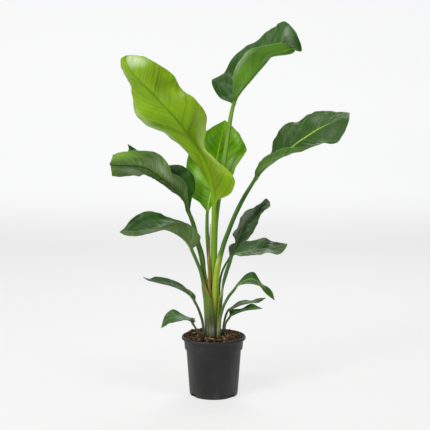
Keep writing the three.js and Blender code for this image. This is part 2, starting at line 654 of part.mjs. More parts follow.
// The height of the compost's lumpy top. It rises a little to the stems, and is heaped at the back left.
function soilLevel(x, y) {
  const out = Math.hypot(x, y) / SOIL_EDGE_RADIUS;
  const swell = Math.sin(0.19 * x + 1) * Math.cos(0.23 * y);
  const lumps = swell + 0.7 * Math.sin(0.41 * x - 0.33 * y) + 0.5 * Math.sin(0.57 * y + 2);
  const heap = Math.hypot(x - SOIL_HEAP.at[0], y - SOIL_HEAP.at[1]) / SOIL_HEAP.spread;
  const level = mix(SOIL_CROWN_LEVEL, SOIL_EDGE_LEVEL, out * out);
  return level + SOIL_HEAP.height * Math.exp(-heap * heap) + SOIL_BUMP * lumps * mix(1, 0.35, out);
}

// The compost: a plug that fills the pot, with plain holes where the stalks stand.
function soilGeometry() {
  const wall = innerWall.slice(0, 4).map(([radius, height]) => [radius - GAP, height]);
  wall[0][1] += GAP;
  const profile = [[0, wall[0][1]], ...wall];
  for (let k = SOIL_RINGS; k >= 0; k--)
    profile.push([(SOIL_EDGE_RADIUS * k) / SOIL_RINGS, SOIL_CROWN_LEVEL]);
  const plug = turned(profile, SOIL_SIDES);
  const place = plug.attributes.position;
  for (let i = 0; i < place.count; i++)
    if (place.getZ(i) > SOIL_CROWN_LEVEL - 0.01) place.setZ(i, soilLevel(place.getX(i), place.getY(i)));
  let soil = solidOf(plug);
  const shootHole = bar(SHOOT_RADIUS + GAP, FOOT_LEVEL - GAP, POT_HEIGHT + 30, SHOOT_CENTRE);
  soil = soil.subtract(solidOf(shootHole));
  for (const leaf of LEAVES.filter(({ ownHole }) => ownHole)) {
    const stalk = leaf.stalk.map((row) => [...row]);
    stalk[0][2] -= GAP;
    soil = soil.subtract(solidOf(loft(stalkRings({ ...leaf, stalk }, 5, GAP))));
  }
  return geometryOf(soil);
}

function stripGeometry() {
  const side = new THREE.Vector3(-1, 0, 0);
  return loft(DRIED_STRIP.map((row, i) => stalkRing(row, side, headingAt(DRIED_STRIP, i), 5)));
}

const group = new THREE.Group();

function add(name, geometry, color, roughness) {
  geometry.deleteAttribute("normal");
  geometry.computeVertexNormals();
  const material = new THREE.MeshStandardMaterial({ color, roughness, metalness: 0 });
  const mesh = new THREE.Mesh(geometry, material);
  mesh.name = name;
  group.add(mesh);
}

add("pot", potGeometry(), 0x3a3b3d, 0.55);
add("soil", soilGeometry(), 0x4a2b16, 0.95);
add("dried_sheath", stripGeometry(), 0x6e4a2a, 0.8);
for (const leaf of LEAVES) {
  const across = leaf.ownHole ? 6 : 8;
  const rings = [...stalkRings(leaf, across), ...bladeRings(leaf, across)];
  add(leaf.name, loft(rings), leaf.color, 0.45);
}

export default group;
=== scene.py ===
"""The looks of a potted bird of paradise: veined leaves, a dried sheath, bark compost and a nursery pot.

The leaves and the strip follow the rows that their solids are lofted through, in millimetres, and are drawn
finer than the solids.
"""

import math
import random

import bmesh
import bpy
import numpy as np
from mathutils import Euler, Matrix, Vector


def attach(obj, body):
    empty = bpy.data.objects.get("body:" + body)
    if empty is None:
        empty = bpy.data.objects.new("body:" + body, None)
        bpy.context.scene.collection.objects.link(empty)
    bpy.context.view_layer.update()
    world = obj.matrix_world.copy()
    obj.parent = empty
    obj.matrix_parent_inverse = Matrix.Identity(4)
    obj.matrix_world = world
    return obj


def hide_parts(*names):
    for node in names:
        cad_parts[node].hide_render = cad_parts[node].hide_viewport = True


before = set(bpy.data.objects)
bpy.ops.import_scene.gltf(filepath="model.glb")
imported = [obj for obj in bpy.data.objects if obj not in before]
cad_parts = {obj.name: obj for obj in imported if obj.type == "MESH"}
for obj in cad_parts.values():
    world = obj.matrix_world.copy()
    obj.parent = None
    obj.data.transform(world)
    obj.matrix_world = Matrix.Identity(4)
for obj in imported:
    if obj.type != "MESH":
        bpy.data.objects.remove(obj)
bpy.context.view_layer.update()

MM = 0.001

# The camera, fitted to the ellipses of the pot in the photograph.
PHOTO_PIXELS = 430
FOCAL_PIXELS = 1000
SENSOR_WIDTH = 36.0
CAMERA_PLACE = (0.0034, -2.6, 0.756)
CAMERA_TILT = math.radians(6.1)  # down from level

# The form of the leaves, as on the solids.
RIPPLE_HEIGHT = 0.035
RIPPLE_TURNS = 2.1
EDGE_THICKNESS = 0.7
BLADE_THICKNESS = 1.1
RIB_WIDTH_AT_BASE = 0.8  # of the stalk's width
RIB_DEPTH_AT_BASE = 0.6  # of the stalk's thickness
RIB_HALF_WIDTH_AT_TIP = 0.8
RIB_DEPTH_AT_TIP = 0.4
TIP_HALF_WIDTH = 1.0
STALK_FLATNESS = 0.9  # 1 would bring a stalk to a sharp edge on both sides

# How finely the leaves are drawn.
RIB_STEPS = 4  # from the middle of the midrib to its edge
RIB_SHARE_OF_STALK = 0.45  # of the stalk's columns, those that go on as the midrib
STALK_RINGS = 10  # from one row of a stalk to the next
STEPS_AND_RINGS = (28, 18)  # columns of each half of a blade, and rings from one row to the next
SMALL_STEPS_AND_RINGS = (14, 8)
JOIN_RINGS = 6  # between the stalk and the blade
STRIP_RINGS = 12  # to each row of the dried strip
STRIP_STEPS = 5  # columns of each half of the dried strip
FLUTTER = 1.1  # millimetres that a margin waves, on top of the ripple
SWELL = 1.5  # millimetres that the blade between rib and margin rises and falls
PLEAT = 0.26  # millimetres that each of the folds along the side veins rises and falls
VEIN_SHIFT = 40  # millimetres between the patterns of the two halves

# The pot, as on the solid, in millimetres.
POT_HEIGHT = 158
RIM_RADIUS = 85
LIP_HEIGHT = 9
BASE_RADIUS = 64
BODY_TOP_RADIUS = 72.5
COLLAR_RADIUS = 76.5
COLLAR_TOP_RADIUS = 79
COLLAR_LEVEL = 123.5
WALL = 2.4
FLOOR_LEVEL = 6
FOOT_HEIGHT = 3
FOOT_RING_WIDTH = 5
FOOT_DISC_RADIUS = 24
DRAIN_HOLES = 6
DRAIN_HOLE_RADIUS = 5
DRAIN_CIRCLE_RADIUS = 42
DRILL_LEVEL = 4  # the middle of what cuts a drain hole
DRILL_LENGTH = 9
NOTCH_ANGLES = (-43, -147, 85)
NOTCH_WIDTH = 21
NOTCH_HEIGHT = 8  # 3 more than on the solid, so that the dark behind the notch shows
PAINTED_SHADE_RADIUS = 60.5  # as far as shade is painted under the pot, on the floor and on the walls behind the notches
POT_COLUMNS = 240

# The compost's top, as on the solid.
SOIL_EDGE_LEVEL = 154.5
SOIL_CROWN_LEVEL = 158.5
SOIL_EDGE_RADIUS = 77.6
SOIL_BUMP = 2.6
SOIL_HEAP = {"height": 5.5, "spread": 24, "at": (-52, 42)}
SHOOT_CENTRE = (-2, 0)
SHOOT_RADIUS = 22.8
CHIPS = 1500
FIBRE_RINGS = 7

# The floor of the studio, in metres.
FLOOR_DEPTH = 2.4
BACKDROP_BEND = 0.8

# Which way the back of each stalk faces at its foot, in degrees round from +x.
OUTWARD = {
    "leaf_young": -90, "leaf_top": 0, "leaf_right": 0, "leaf_back": 90, "leaf_left": 180,
    "leaf_left_mid": 200, "leaf_right_high": -25, "leaf_right_mid": 40, "leaf_left_low": 180,
    "leaf_left_lowest": 180, "leaf_right_low": -62, "leaf_pair_upper": 0, "leaf_pair_lower": 0,
}

# Rows up each stalk: x, y, z, half-width, thickness, and bend in radians.
STALKS = {
    "leaf_young": [
        (-1, -5.5, 124, 5, 7.5, 0.3),
        (-1, -5.5, 253, 5, 7.5, 0.3),
        (-0.2, -7, 355, 7.6, 9.4, 0.4),
        (0.6, -10, 434, 8, 10.4, 0.5),
        (0.8, -14, 503, 7.4, 9.6, 0.7),
    ],
    "leaf_top": [
        (3.5, 3.6, 124, 4, 5.6, 0.4),
        (3.8, 3.6, 253, 4, 5.6, 0.4),
        (4.2, 4, 316, 4.4, 6.4, 0.4),
        (4.6, 5, 376, 5.4, 9, 0.4),
        (6.2, 4.4, 451, 5.8, 10.6, 0.4),
        (12.2, 2.4, 512, 6, 11.8, 0.42),
        (20.8, 3, 570, 6.6, 12.6, 0.45),
        (30.4, 1, 640, 6.6, 12.8, 0.45),
        (38.6, -1, 698, 6, 12, 0.45),
        (44.6, -3, 736, 5.6, 11, 0.45),
        (49.5, -4, 760, 5.2, 10, 0.5),
    ],
    "leaf_right": [
        (11.5, 0, 124, 25, 2.6, 1.85),
        (11.5, 0, 253, 25, 2.6, 1.85),
        (12.6, 0, 306, 22.8, 3.4, 1.62),
        (16.4, 0, 346, 21, 7.4, 1.5),
        (19.4, 0.5, 374, 14, 12, 1.2),
        (26.2, 1, 401, 7.6, 12.4, 0.5),
        (35, 2, 425, 7, 12, 0.45),
        (53.6, 3.5, 472.6, 6.6, 11.5, 0.45),
        (76.8, 5, 519.8, 6.2, 11, 0.45),
        (103.2, 5, 564, 5.4, 9.4, 0.5),
    ],
    "leaf_back": [
        (-7, 4.3, 124, 3.4, 5.4, 0.3),
        (-7.5, 4.8, 253, 3.4, 5.4, 0.3),
        (-12.4, 8, 353, 4.6, 6.6, 0.3),
        (-17.2, 13, 424, 4.6, 7, 0.35),
        (-17.4, 20, 474, 3.9, 6.6, 0.5),
    ],
    "leaf_left": [
        (-18.1, 0, 124, 25.8, 2.6, 1.6),
        (-19.4, 0, 253, 24, 2.6, 1.45),
        (-24.2, 1, 306, 16, 6.5, 0.95),
        (-28.6, 2, 350, 10.5, 14, 0.7),
        (-33.6, 2, 377.5, 8, 14.5, 0.5),
        (-41, 1, 403, 7.2, 13.5, 0.45),
        (-51.5, -0.5, 448, 6.4, 11.6, 0.45),
        (-59.8, -2, 473, 5.8, 10.8, 0.5),
    ],
    "leaf_left_mid": [
        (-21.4, -7.1, 124, 31.8, 2.4, 1.54),
        (-22.2, -7.5, 196, 30.3, 2.4, 1.466),
        (-25, -9, 253, 27.3, 2.8, 1.33),
        (-28.4, -10.8, 286, 15.2, 5, 1.1),
        (-28.3, -11.2, 303, 8.2, 7.8, 0.65),
        (-34.4, -12, 332, 6, 8.6, 0.5),
        (-43.6, -13, 356, 5.4, 8.6, 0.45),
        (-51, -14, 374, 5.2, 8.6, 0.5),
    ],
    "leaf_right_high": [
        (16.7, -8.7, 124, 13.2, 2.4, 0.635),
        (17.2, -9.1, 196, 13.2, 2.4, 0.635),
        (20.6, -11, 253, 11.4, 3.4, 0.6),
        (23.2, -13.5, 286, 7, 6, 0.5),
        (27.2, -16, 308, 5, 7.2, 0.45),
        (33.8, -19, 332, 4.6, 7.4, 0.4),
        (41, -24, 354, 4.4, 7, 0.5),
    ],
    "leaf_right_mid": [
        (13.7, 13.2, 124, 4.2, 2.6, 0.22),
        (14.2, 13.6, 226, 4.2, 3, 0.25),
        (15.2, 14.5, 286, 3.8, 4.4, 0.3),
        (21.2, 16, 322, 3.4, 5.2, 0.4),
        (31.5, 17.5, 345, 3.4, 5.2, 0.5),
    ],
    "leaf_left_low": [
        (-24.5, -19.5, 124, 4.2, 5, 0.4),
        (-28, -19.9, 188, 4.2, 6.8, 0.4),
        (-33.4, -20, 214, 3.8, 7, 0.4),
        (-41.6, -20.5, 237, 3.4, 6.4, 0.5),
    ],
    "leaf_left_lowest": [
        (-30, -26.5, 124, 3, 4.6, 0.3),
        (-36, -27.5, 160, 3.2, 5.4, 0.3),
        (-46, -29.5, 182, 3, 5.2, 0.5),
    ],
    "leaf_right_low": [
        (10.5, -26.5, 124, 4.6, 4, 0.4),
        (12, -26.5, 162, 4.6, 4.6, 0.4),
        (16.5, -26, 206, 4.4, 5.4, 0.4),
        (25.1, -23.5, 238, 4.2, 7, 0.4),
        (38.3, -17, 263.8, 4, 7.2, 0.4),
        (53.2, -8.5, 281, 3.6, 6.4, 0.5),
    ],
    "leaf_pair_upper": [
        (24.2, 3.5, 124, 2.8, 3.4, 0.3),
        (25.4, 4, 180, 3, 4.4, 0.3),
        (32.6, 5, 212, 3, 4.6, 0.5),
    ],
    "leaf_pair_lower": [
        (25.4, -10, 124, 2.8, 3.4, 0.3),
        (30.4, -10, 186, 3, 4.6, 0.3),
        (38, -11, 203, 3, 4.6, 0.5),
    ],
}

# Rows out along each blade: x, y and z of the midrib, of the left margin and of the right margin, the bow
# of each half as a share of its width, and, where it isn't 0.5, how far out along the right half its bow
# lies. The last row is the tip.
BLADES = {
    "leaf_young": [
        (0, -15, 516, 10, -25, 520, -4, -8, 517, 0, 0),
        (-5, -22, 551, 45, -32, 539, -10, -5, 551, 0.1, -0.1),
        (-14, -31, 588, 52, -53, 581, -27, 3, 585, 0.12, -0.15),
        (-30, -41, 628, 16, -9, 615, -55, 2, 622, 0.15, -0.15),
        (-53, -52, 669, -19, -5, 653, -92, -5, 665, 0.12, -0.12),
        (-78, -62, 706, -22, -12, 695, -130, -18, 694, 0.05, -0.1),
        (-104, -68, 739, -19, -38, 739, -175, -42, 714, 0, -0.05),
        (-130, -70, 766, -44, -47, 777, -200, -43, 746, 0, -0.06),
        (-157, -68, 794, -85, -23, 807, -207, -22, 784, 0, -0.1),
        (-183, -62, 820, -104, -41, 842, -218, -23, 824, -0.03, -0.12),
        (-206, -53, 845, -140, -51, 867, -231, -30, 849, -0.08, -0.1),
        (-219, -43, 866, -173, -41, 884, -237, -31, 870, -0.12, -0.04),
        (-225, -35, 879, -203, -13, 891, -236, -23, 882, -0.12, 0),
        (-223, -29, 889),
    ],
    "leaf_top": [
        (52, -5, 770, 45, 1, 770, 48, -10, 777, 0, 0),
        (61, -7, 788, 14, 15, 785, 48, -40, 796, -0.1, -0.2),
        (74, -9, 805, -6, 19, 827, 48, -63, 821, -0.14, -0.24),
        (91, -11, 824, 26, 34, 846, 52, -67, 847, -0.12, -0.22),
        (111, -13, 847, 49, 21, 884, 65, -63, 877, -0.1, -0.2),
        (130, -15, 868, 80, 24, 914, 89, -67, 901, -0.1, -0.22),
        (148, -17, 890, 114, 31, 931, 122, -75, 908, -0.1, -0.6),
        (165, -18, 912, 143, 20, 956, 166, -74, 919, -0.1, -1.4),
        (172, -18, 925, 155, 15, 964, 192, -66, 906, -0.09, -0.98),
        (178, -17, 936, 167, 10, 972, 222, -49, 899, -0.08, -0.35),
        (184, -14, 955, 181, 0, 977, 210, -41, 942, -0.05, -0.08),
        (193, -10, 969),
    ],
    "leaf_right": [
        (111, 5, 575, 113, 12, 579, 107, 1, 581, 0, 0),
        (121, 4, 589, 124, 28, 599, 107, -17, 596, -0.1, -0.25),
        (136, 2, 604, 138, 43, 620, 115, -36, 614, -0.15, -0.3),
        (154, 0, 617, 151, 51, 640, 130, -48, 631, -0.15, -0.34),
        (175, -2, 632, 158, 48, 668, 151, -58, 644, -0.12, -0.38),
        (195, -4, 649, 173, 36, 699, 177, -65, 656, -0.1, -0.55, 0.6),
        (218, -6, 668, 191, 34, 716, 203, -67, 656, -0.05, -0.6, 0.75),
        (241, -8, 684, 225, 44, 722, 236, -67, 661, -0.05, -0.46, 0.8),
        (264, -9, 699, 249, 39, 741, 273, -60, 665, -0.08, -0.18, 0.7),
        (287, -9, 711, 276, 35, 748, 313, -45, 668, -0.08, -0.05),
        (312, -7, 721, 304, 29, 748, 333, -35, 694, -0.06, -0.05),
        (334, -2, 732, 332, 19, 747, 347, -23, 722, 0, 0),
        (352, 6, 744),
    ],
    "leaf_back": [
        (-16, 20, 485, -20, 15, 488, -12, 15, 488, 0, 0),
        (-13, 26, 506, -38, 34, 508, 1, 12, 509, -0.1, -0.1),
        (-8, 33, 530, -59, 56, 522, 24, 7, 527, -0.05, -0.12),
        (-2, 41, 562, -70, 66, 560, 43, 1, 561, -0.05, -0.14),
        (3, 48, 594, -73, 66, 597, 54, -3, 597, -0.05, -0.22),
        (9, 54, 626, -68, 62, 631, 74, 11, 629, -0.05, -0.2),
        (15, 58, 656, -52, 56, 663, 87, 39, 645, -0.05, -0.05),
        (20, 60, 682, -26, 23, 692, 76, 34, 673, -0.05, 0),
        (25, 61, 704, -2, 37, 707, 56, 36, 702, -0.04, 0),
        (30, 60, 724),
    ],
    "leaf_left": [
        (-67, -3, 492, -65, -8, 496, -62, 1, 493, 0, 0),
        (-73, -5, 512, -67, -22, 529, -58, 12, 515, -0.1, -0.6, -0.1),
        (-85, -8, 532, -68, -36, 557, -49, 20, 546, -0.12, -0.62, -0.25),
        (-102, -11, 550, -81, -44, 576, -55, 28, 579, -0.12, -0.62, -0.35),
        (-121, -14, 568, -105, -45, 590, -82, 32, 606, -0.12, -0.6, -0.35),
        (-143, -16, 583, -119, -30, 617, -117, 36, 607, -0.1, -0.6, -0.3),
        (-167, -17, 598, -143, -8, 639, -153, 42, 596, -0.08, -0.6, -0.1),
        (-192, -16, 606, -176, 8, 646, -187, 38, 583, -0.06, -0.4, 0.2),
        (-219, -13, 608, -215, 18, 644, -219, 30, 578, -0.04, -0.16),
        (-248, -5, 608, -249, 26, 640, -255, 20, 576, -0.02, -0.06),
        (-270, 11, 610, -266, 36, 634, -267, 25, 585, 0, 0),
        (-261, 34, 623, -258, 54, 626, -259, 50, 609, 0, 0),
        (-236, 48, 633, -240, 58, 632, -220, 60, 631, 0, 0),
        (-217, 54, 647, -226, 59, 645, -200, 60, 641, 0, 0),
        (-227, 52, 661),
    ],
    "leaf_left_mid": [
        (-58, -13, 391, -54, -17, 394, -60, -9, 395, 0, 0),
        (-65, -14, 403, -43, -34, 404, -62, -3, 411, -0.15, -0.1),
        (-77, -15, 417, -34, -43, 427, -65, 0, 435, -0.18, -0.15),
        (-95, -16, 430, -57, -45, 455, -78, 8, 458, -0.18, -0.15),
        (-118, -17, 441, -90, -54, 465, -106, 28, 465, -0.2, -0.12),
        (-142, -17, 444, -126, -62, 458, -137, 28, 477, -0.3, -0.1),
        (-167, -17, 438, -156, -62, 451, -167, 14, 487, -0.35, -0.08),
        (-192, -17, 430, -186, -58, 444, -194, 4, 482, -0.35, -0.05),
        (-215, -16, 426, -213, -46, 442, -217, -5, 466, -0.3, 0),
        (-232, -14, 428, -231, -27, 438, -232, -4, 446, -0.1, 0),
        (-245, -12, 435),
    ],
    "leaf_right_high": [
        (48, -27, 374, 46, -29, 378, 52, -29, 377, 0, 0),
        (57, -30, 398, 54, -38, 402, 67, -39, 400, -0.1, -0.1),
        (62, -32, 417, 55, -47, 421, 85, -46, 417, -0.15, -0.15),
        (69, -33, 436, 49, -54, 436, 100, -50, 436, -0.15, -0.15),
        (78, -34, 453, 59, -60, 451, 109, -56, 455, -0.2, -0.15),
        (91, -34, 466, 69, -60, 476, 115, -63, 472, -0.15, -0.2),
        (105, -33, 480, 83, -55, 494, 120, -65, 486, -0.15, -0.25),
        (118, -31, 494, 103, -53, 504, 128, -57, 495, -0.15, -0.25),
        (131, -28, 507, 122, -43, 514, 140, -43, 501, -0.1, -0.15),
        (140, -25, 514, 135, -28, 524, 146, -29, 504, 0, 0),
        (145, -24, 515),
    ],
    "leaf_right_mid": [
        (41, 18, 363, 42, 20, 368, 44, 15, 366, 0, 0),
        (54, 18, 372, 41, 34, 391, 46, 9, 378, -0.15, -0.2),
        (72, 17, 376, 62, 42, 401, 69, -2, 370, -0.12, -0.2),
        (94, 15, 381, 90, 46, 403, 92, -14, 373, -0.1, -0.2),
        (117, 12, 385, 113, 44, 406, 117, -21, 377, -0.1, -0.2),
        (138, 9, 389, 133, 33, 415, 141, -22, 382, -0.1, -0.15),
        (158, 5, 392, 155, 30, 405, 169, -11, 375, -0.05, -0.1),
        (177, 0, 397, 175, 14, 403, 185, -8, 387, 0, 0),
        (193, -4, 402),
    ],
    "leaf_left_low": [
        (-51, -19, 255, -48, -21, 257, -52, -17, 257, 0, 0),
        (-58, -19, 265, -48, -27, 269, -57, -9, 273, -0.15, -0.1),
        (-72, -20, 277, -61, -30, 284, -69, -6, 282, -0.2, -0.1),
        (-91, -20, 287, -82, -36, 294, -86, -3, 296, -0.25, -0.1),
        (-112, -21, 295, -106, -40, 301, -110, -3, 308, -0.25, -0.1),
        (-134, -21, 300, -129, -39, 306, -133, -5, 314, -0.25, -0.1),
        (-155, -21, 305, -152, -36, 309, -154, -8, 316, -0.15, -0.05),
        (-170, -21, 309, -168, -29, 308, -168, -14, 312, 0, 0),
        (-184, -20, 317),
    ],
    "leaf_left_lowest": [
        (-55, -30, 197, -52, -32, 199, -55, -28, 201, 0, 0),
        (-61, -31, 204, -48, -33, 204, -49, -29, 209, -0.2, -0.2),
        (-74, -32, 209, -73, -50, 210, -68, -16, 211, -0.1, -0.1),
        (-89, -33, 213, -86, -53, 208, -88, -12, 220, -0.1, -0.1),
        (-105, -34, 213, -101, -55, 204, -106, -19, 232, -0.1, -0.1),
        (-118, -34, 209, -116, -51, 201, -124, -17, 220, -0.1, -0.05),
        (-129, -34, 200, -126, -41, 192, -132, -24, 204, 0, 0),
        (-137, -33, 185),
    ],
    "leaf_right_low": [
        (62, -5, 293, 60, -3, 295, 65, -7, 292, 0, 0),
        (73, -4, 300, 70, 7, 304, 73, -16, 297, -0.1, -0.1),
        (86, -4, 307, 85, 10, 320, 88, -19, 299, -0.1, -0.15),
        (101, -4, 310, 105, 10, 326, 104, -17, 297, -0.1, -0.15),
        (114, -5, 303, 118, 12, 308, 115, -17, 295, -0.15, -0.1),
        (125, -5, 293, 128, 6, 295, 122, -15, 291, -0.1, -0.1),
        (139, -6, 281, 143, -14, 289, 133, -15, 276, -0.1, -0.1),
        (150, -6, 269, 154, -9, 276, 145, -13, 265, 0, 0),
        (160, -6, 254),
    ],
    "leaf_pair_upper": [
        (39, 4, 225, 37, 6, 227, 42, 2, 225, 0, 0),
        (50, 4, 232, 48, 13, 232, 53, -4, 231, -0.1, -0.1),
        (67, 4, 241, 65, 17, 245, 69, -10, 239, -0.1, -0.2),
        (84, 5, 246, 83, 20, 249, 85, -10, 243, -0.1, -0.2),
        (101, 6, 248, 100, 19, 247, 101, -6, 246, -0.05, -0.1),
        (118, 6, 251, 116, 15, 254, 119, -2, 246, 0, -0.1),
        (137, 6, 257),
    ],
    "leaf_pair_lower": [
        (45, -11, 212, 42, -9, 216, 48, -13, 212, 0, 0),
        (54, -11, 219, 43, -9, 229, 55, -22, 218, -0.1, -0.15),
        (69, -12, 225, 71, 2, 229, 71, -26, 226, -0.1, -0.2),
        (86, -12, 230, 89, 2, 238, 88, -26, 230, -0.1, -0.2),
        (103, -13, 233, 102, -2, 243, 105, -25, 232, -0.1, -0.1),
        (116, -13, 233, 116, -6, 237, 117, -20, 232, 0, 0),
        (128, -13, 232),
    ],
}

# Rows up the dried strip, as up a stalk.
DRIED_STRIP = [
    (-5.5, -18, 124, 2.2, 1, 0.25),
    (-5.8, -18.2, 200, 2.4, 1, 0.25),
    (-8, -18.4, 253, 3, 1.1, 0.25),
    (-12, -16, 300, 3.6, 1.2, 0.3),
    (-11.6, -13.4, 330, 4, 1.2, 0.35),
    (-11.6, -10, 365, 3.2, 1.2, 0.35),
    (-10.9, -7.5, 398, 2.4, 1.1, 0.3),
    (-9.6, -7, 430, 1.4, 1, 0.2),
    (-8.4, -7.5, 456, 0.6, 0.9, 0.1),
]

# The colours of each leaf in daylight: its upper side, its underside, its midrib, its stalk, its sheath and
# the sheath's foot. The number is how far above the foot, in millimetres, the sheath turns into the stalk.
LOOKS = {
    "leaf_young": ("#6d9a12", "#92b408", "#6f9c06", "#75a306", "#7f9f1c", "#6f7c34", 150),
    "leaf_top": ("#336010", "#64a014", "#7fa838", "#76a030", "#6f9a30", "#5f7a38", 150),
    "leaf_right": ("#345e0c", "#5a8a26", "#a9cb4e", "#457420", "#a0b824", "#7c8a40", 240),
    "leaf_back": ("#8cc00c", "#80b818", "#d0ec60", "#5f8a1c", "#8a8634", "#6a6a2c", 250),
    "leaf_left": ("#366a04", "#507620", "#2c480c", "#467018", "#45620a", "#4e6228", 190),
    "leaf_left_mid": ("#3a681a", "#5c7c34", "#7f9e4c", "#466e1e", "#5d7a22", "#5c6038", 170),
    "leaf_right_high": ("#3e5c2e", "#526c3a", "#73904c", "#3f661e", "#5c7a20", "#627c50", 160),
    "leaf_right_mid": ("#386026", "#526f3a", "#85a35a", "#446e24", "#446e24", "#4f6a32", 100),
    "leaf_left_low": ("#35591a", "#4e6a36", "#6f8d46", "#34541a", "#34541a", "#4a5e34", 30),
    "leaf_left_lowest": ("#3e6826", "#4c7032", "#6f9240", "#32521a", "#32521a", "#4a5e34", 30),
    "leaf_right_low": ("#447226", "#587c3c", "#86a856", "#426a22", "#76942c", "#8a9860", 70),
    "leaf_pair_upper": ("#30580e", "#2c4e0c", "#6f8d46", "#32501a", "#32501a", "#4a5e34", 30),
    "leaf_pair_lower": ("#2c5a0e", "#406e20", "#6f9240", "#32501a", "#32501a", "#4a5e34", 30),
}

# Painted highlights, sheens and shades on each leaf, with a few real changes of its tone: the middle of the
# place, as a share of the way from the midrib to the margin, less than 0 on the left half, and as a share of
# the blade's length, its reach both ways, its side (1 is under), its colour and how strongly it shows.
PAINTED_LIGHT_AND_TINTS = {
    "leaf_young": [
        (0, 0.05, 4, 0.22, 1, "#a8cc10", 0.5),
        (-0.9, 0.4, 0.45, 0.2, 1, "#ecfa90", 0.9),
        (-0.3, 0.5, 0.2, 0.3, 1, "#7f9c20", 0.4),
        (0.7, 0.27, 0.35, 0.12, 1, "#c4dc60", 0.4),
        (0.92, 0.48, 0.2, 0.26, 1, "#dce8c0", 0.55),
        (-0.45, 0.95, 0.6, 0.07, 1, "#f0f8dc", 0.75),
        (0.75, 0.86, 0.4, 0.08, 1, "#d0e08c", 0.5),
    ],
    "leaf_top": [
        (0.93, 0.4, 0.16, 0.2, 1, "#e0ecc8", 0.45),
        (0.5, 0.3, 0.45, 0.25, 1, "#8ecc28", 0.65),
        (0.1, 0.9, 0.6, 0.12, 0, "#98aa90", 0.6),
    ],
    "leaf_left": [
        (-0.45, 0.34, 0.4, 0.2, 1, "#8c9a7c", 0.6),
        (-0.5, 0.48, 0.5, 0.1, 1, "#3c6010", 0.7),
        (0.6, 0.14, 0.8, 0.22, 1, "#2a440c", 0.75),
        (-0.8, 0.68, 0.6, 0.2, 1, "#80b030", 0.75),
        (0.18, 0.36, 0.2, 0.3, 1, "#2a460c", 0.7),
        (0.35, 0.57, 0.3, 0.1, 1, "#a4b290", 0.5),
        (-0.25, 0.18, 0.4, 0.12, 1, "#34500e", 0.6),
        (0.78, 0.31, 0.3, 0.09, 0, "#0f2c00", 0.8),
        (0.7, 0.25, 0.5, 0.1, 1, "#3c5a14", 0.5),
    ],
    "leaf_left_mid": [
        (0.5, 0.5, 0.6, 0.3, 0, "#33601a", 0.35),
        (-0.8, 0.66, 0.3, 0.16, 1, "#aabf8c", 0.5),
    ],
    "leaf_right_high": [
        (-0.6, 0.6, 0.6, 0.5, 0, "#a0ac98", 0.7),
        (0.4, 0.45, 0.4, 0.3, 0, "#24481a", 0.6),
    ],
    "leaf_right_mid": [
        (0.5, 0.6, 0.6, 0.5, 0, "#7c9a68", 0.45),
    ],
    "leaf_right": [
        (0.5, 0.2, 0.6, 0.14, 1, "#6fa028", 0.55),
        (0.8, 0.42, 0.4, 0.2, 1, "#6a9a3c", 0.5),
        (-0.6, 0.72, 0.35, 0.08, 0, "#909c86", 0.35),
        (0.45, 0.78, 0.3, 0.07, 0, "#909c86", 0.15),
        (-0.5, 0.3, 0.6, 0.2, 0, "#33600e", 0.4),
    ],
    "leaf_left_low": [(0, 0.07, 4, 0.16, side, "#2a441a", 0.8) for side in (0, 1)],
    "leaf_left_lowest": [(0, 0.05, 4, 0.18, side, "#24400f", 0.9) for side in (0, 1)],
    "leaf_pair_upper": [(0, 0.05, 4, 0.22, side, "#15260c", 0.8) for side in (0, 1)],
    "leaf_pair_lower": [(0, 0.08, 4, 0.3, side, "#101f08", 0.9) for side in (0, 1)],
    "leaf_back": [
        (0, 0.15, 4, 0.3, 0, "#5a9008", 0.5),
        (0.7, 0.55, 0.3, 0.12, 0, "#e0f0bc", 0.6),
        (0.75, 0.85, 0.2, 0.1, 0, "#e0f0bc", 0.5),
        (-0.6, 0.42, 0.25, 0.1, 0, "#e4f0cc", 0.4),
        (-0.95, 0.5, 0.3, 0.3, 0, "#4c8004", 0.7),
        (0, 0.9, 1.2, 0.14, 0, "#b4d84c", 0.6),
        (-0.5, 0.78, 0.3, 0.12, 0, "#c4dc88", 0.5),
    ],
}

# The dried edge of a sheath, where it is browner than papery straw.
DRY_EDGES = {"leaf_left_mid": "#64401c", "leaf_left": "#5a5a20"}

# Leaves whose midrib has the stalk's colour underneath.
PALE_RIBS = ("leaf_top", "leaf_right", "leaf_back")

# How strongly silvery glints, painted into the colour as highlights, show along the veins.
GLINTS = {
    "leaf_right_high": 0.75,
    "leaf_right_mid": 0.75,
    "leaf_left_mid": 0.4,
    "leaf_left_low": 0.55,
    "leaf_left_lowest": 0.4,
    "leaf_right_low": 0.45,
    "leaf_left": 0.3,
    "leaf_right": 0.25,
    "leaf_top": 0.25,
    "leaf_back": 0.3,
}

# The share of the blade's length where the midrib's own colour has gone, and where it starts to go.
RIB_FADES = {"leaf_right": (0.9, 0.66), "leaf_top": (0.95, 0.55)}

SMALL_LEAVES = ("leaf_left_low", "leaf_left_lowest", "leaf_right_low", "leaf_pair_upper", "leaf_pair_lower")


def unit(vectors):
    return vectors / np.maximum(np.linalg.norm(vectors, axis=-1, keepdims=True), 1e-9)


def mix(a, b, share):
    return a + (b - a) * share


def ease(share):
    share = np.clip(share, 0, 1)
    return share * share * (3 - 2 * share)


def curve(rows, at):
    """Points of a smooth curve through rows, at whole or broken indices."""
    last = len(rows) - 1
    i = np.clip(np.floor(at).astype(int), 0, last - 1)
    t = (at - i)[:, None]
    a, b, c, d = (rows[np.clip(i + k, 0, last)] for k in (-1, 0, 1, 2))
    return b + 0.5 * t * (c - a + t * (2 * a - 5 * b + 4 * c - d + t * (3 * (b - c) + d - a)))


def heading(rows, at):
    """The way ahead along the curve through rows."""
    step = 0.05
    ahead = curve(rows, np.minimum(at + step, len(rows) - 1))[:, :3]
    return unit(ahead - curve(rows, np.maximum(at - step, 0))[:, :3])


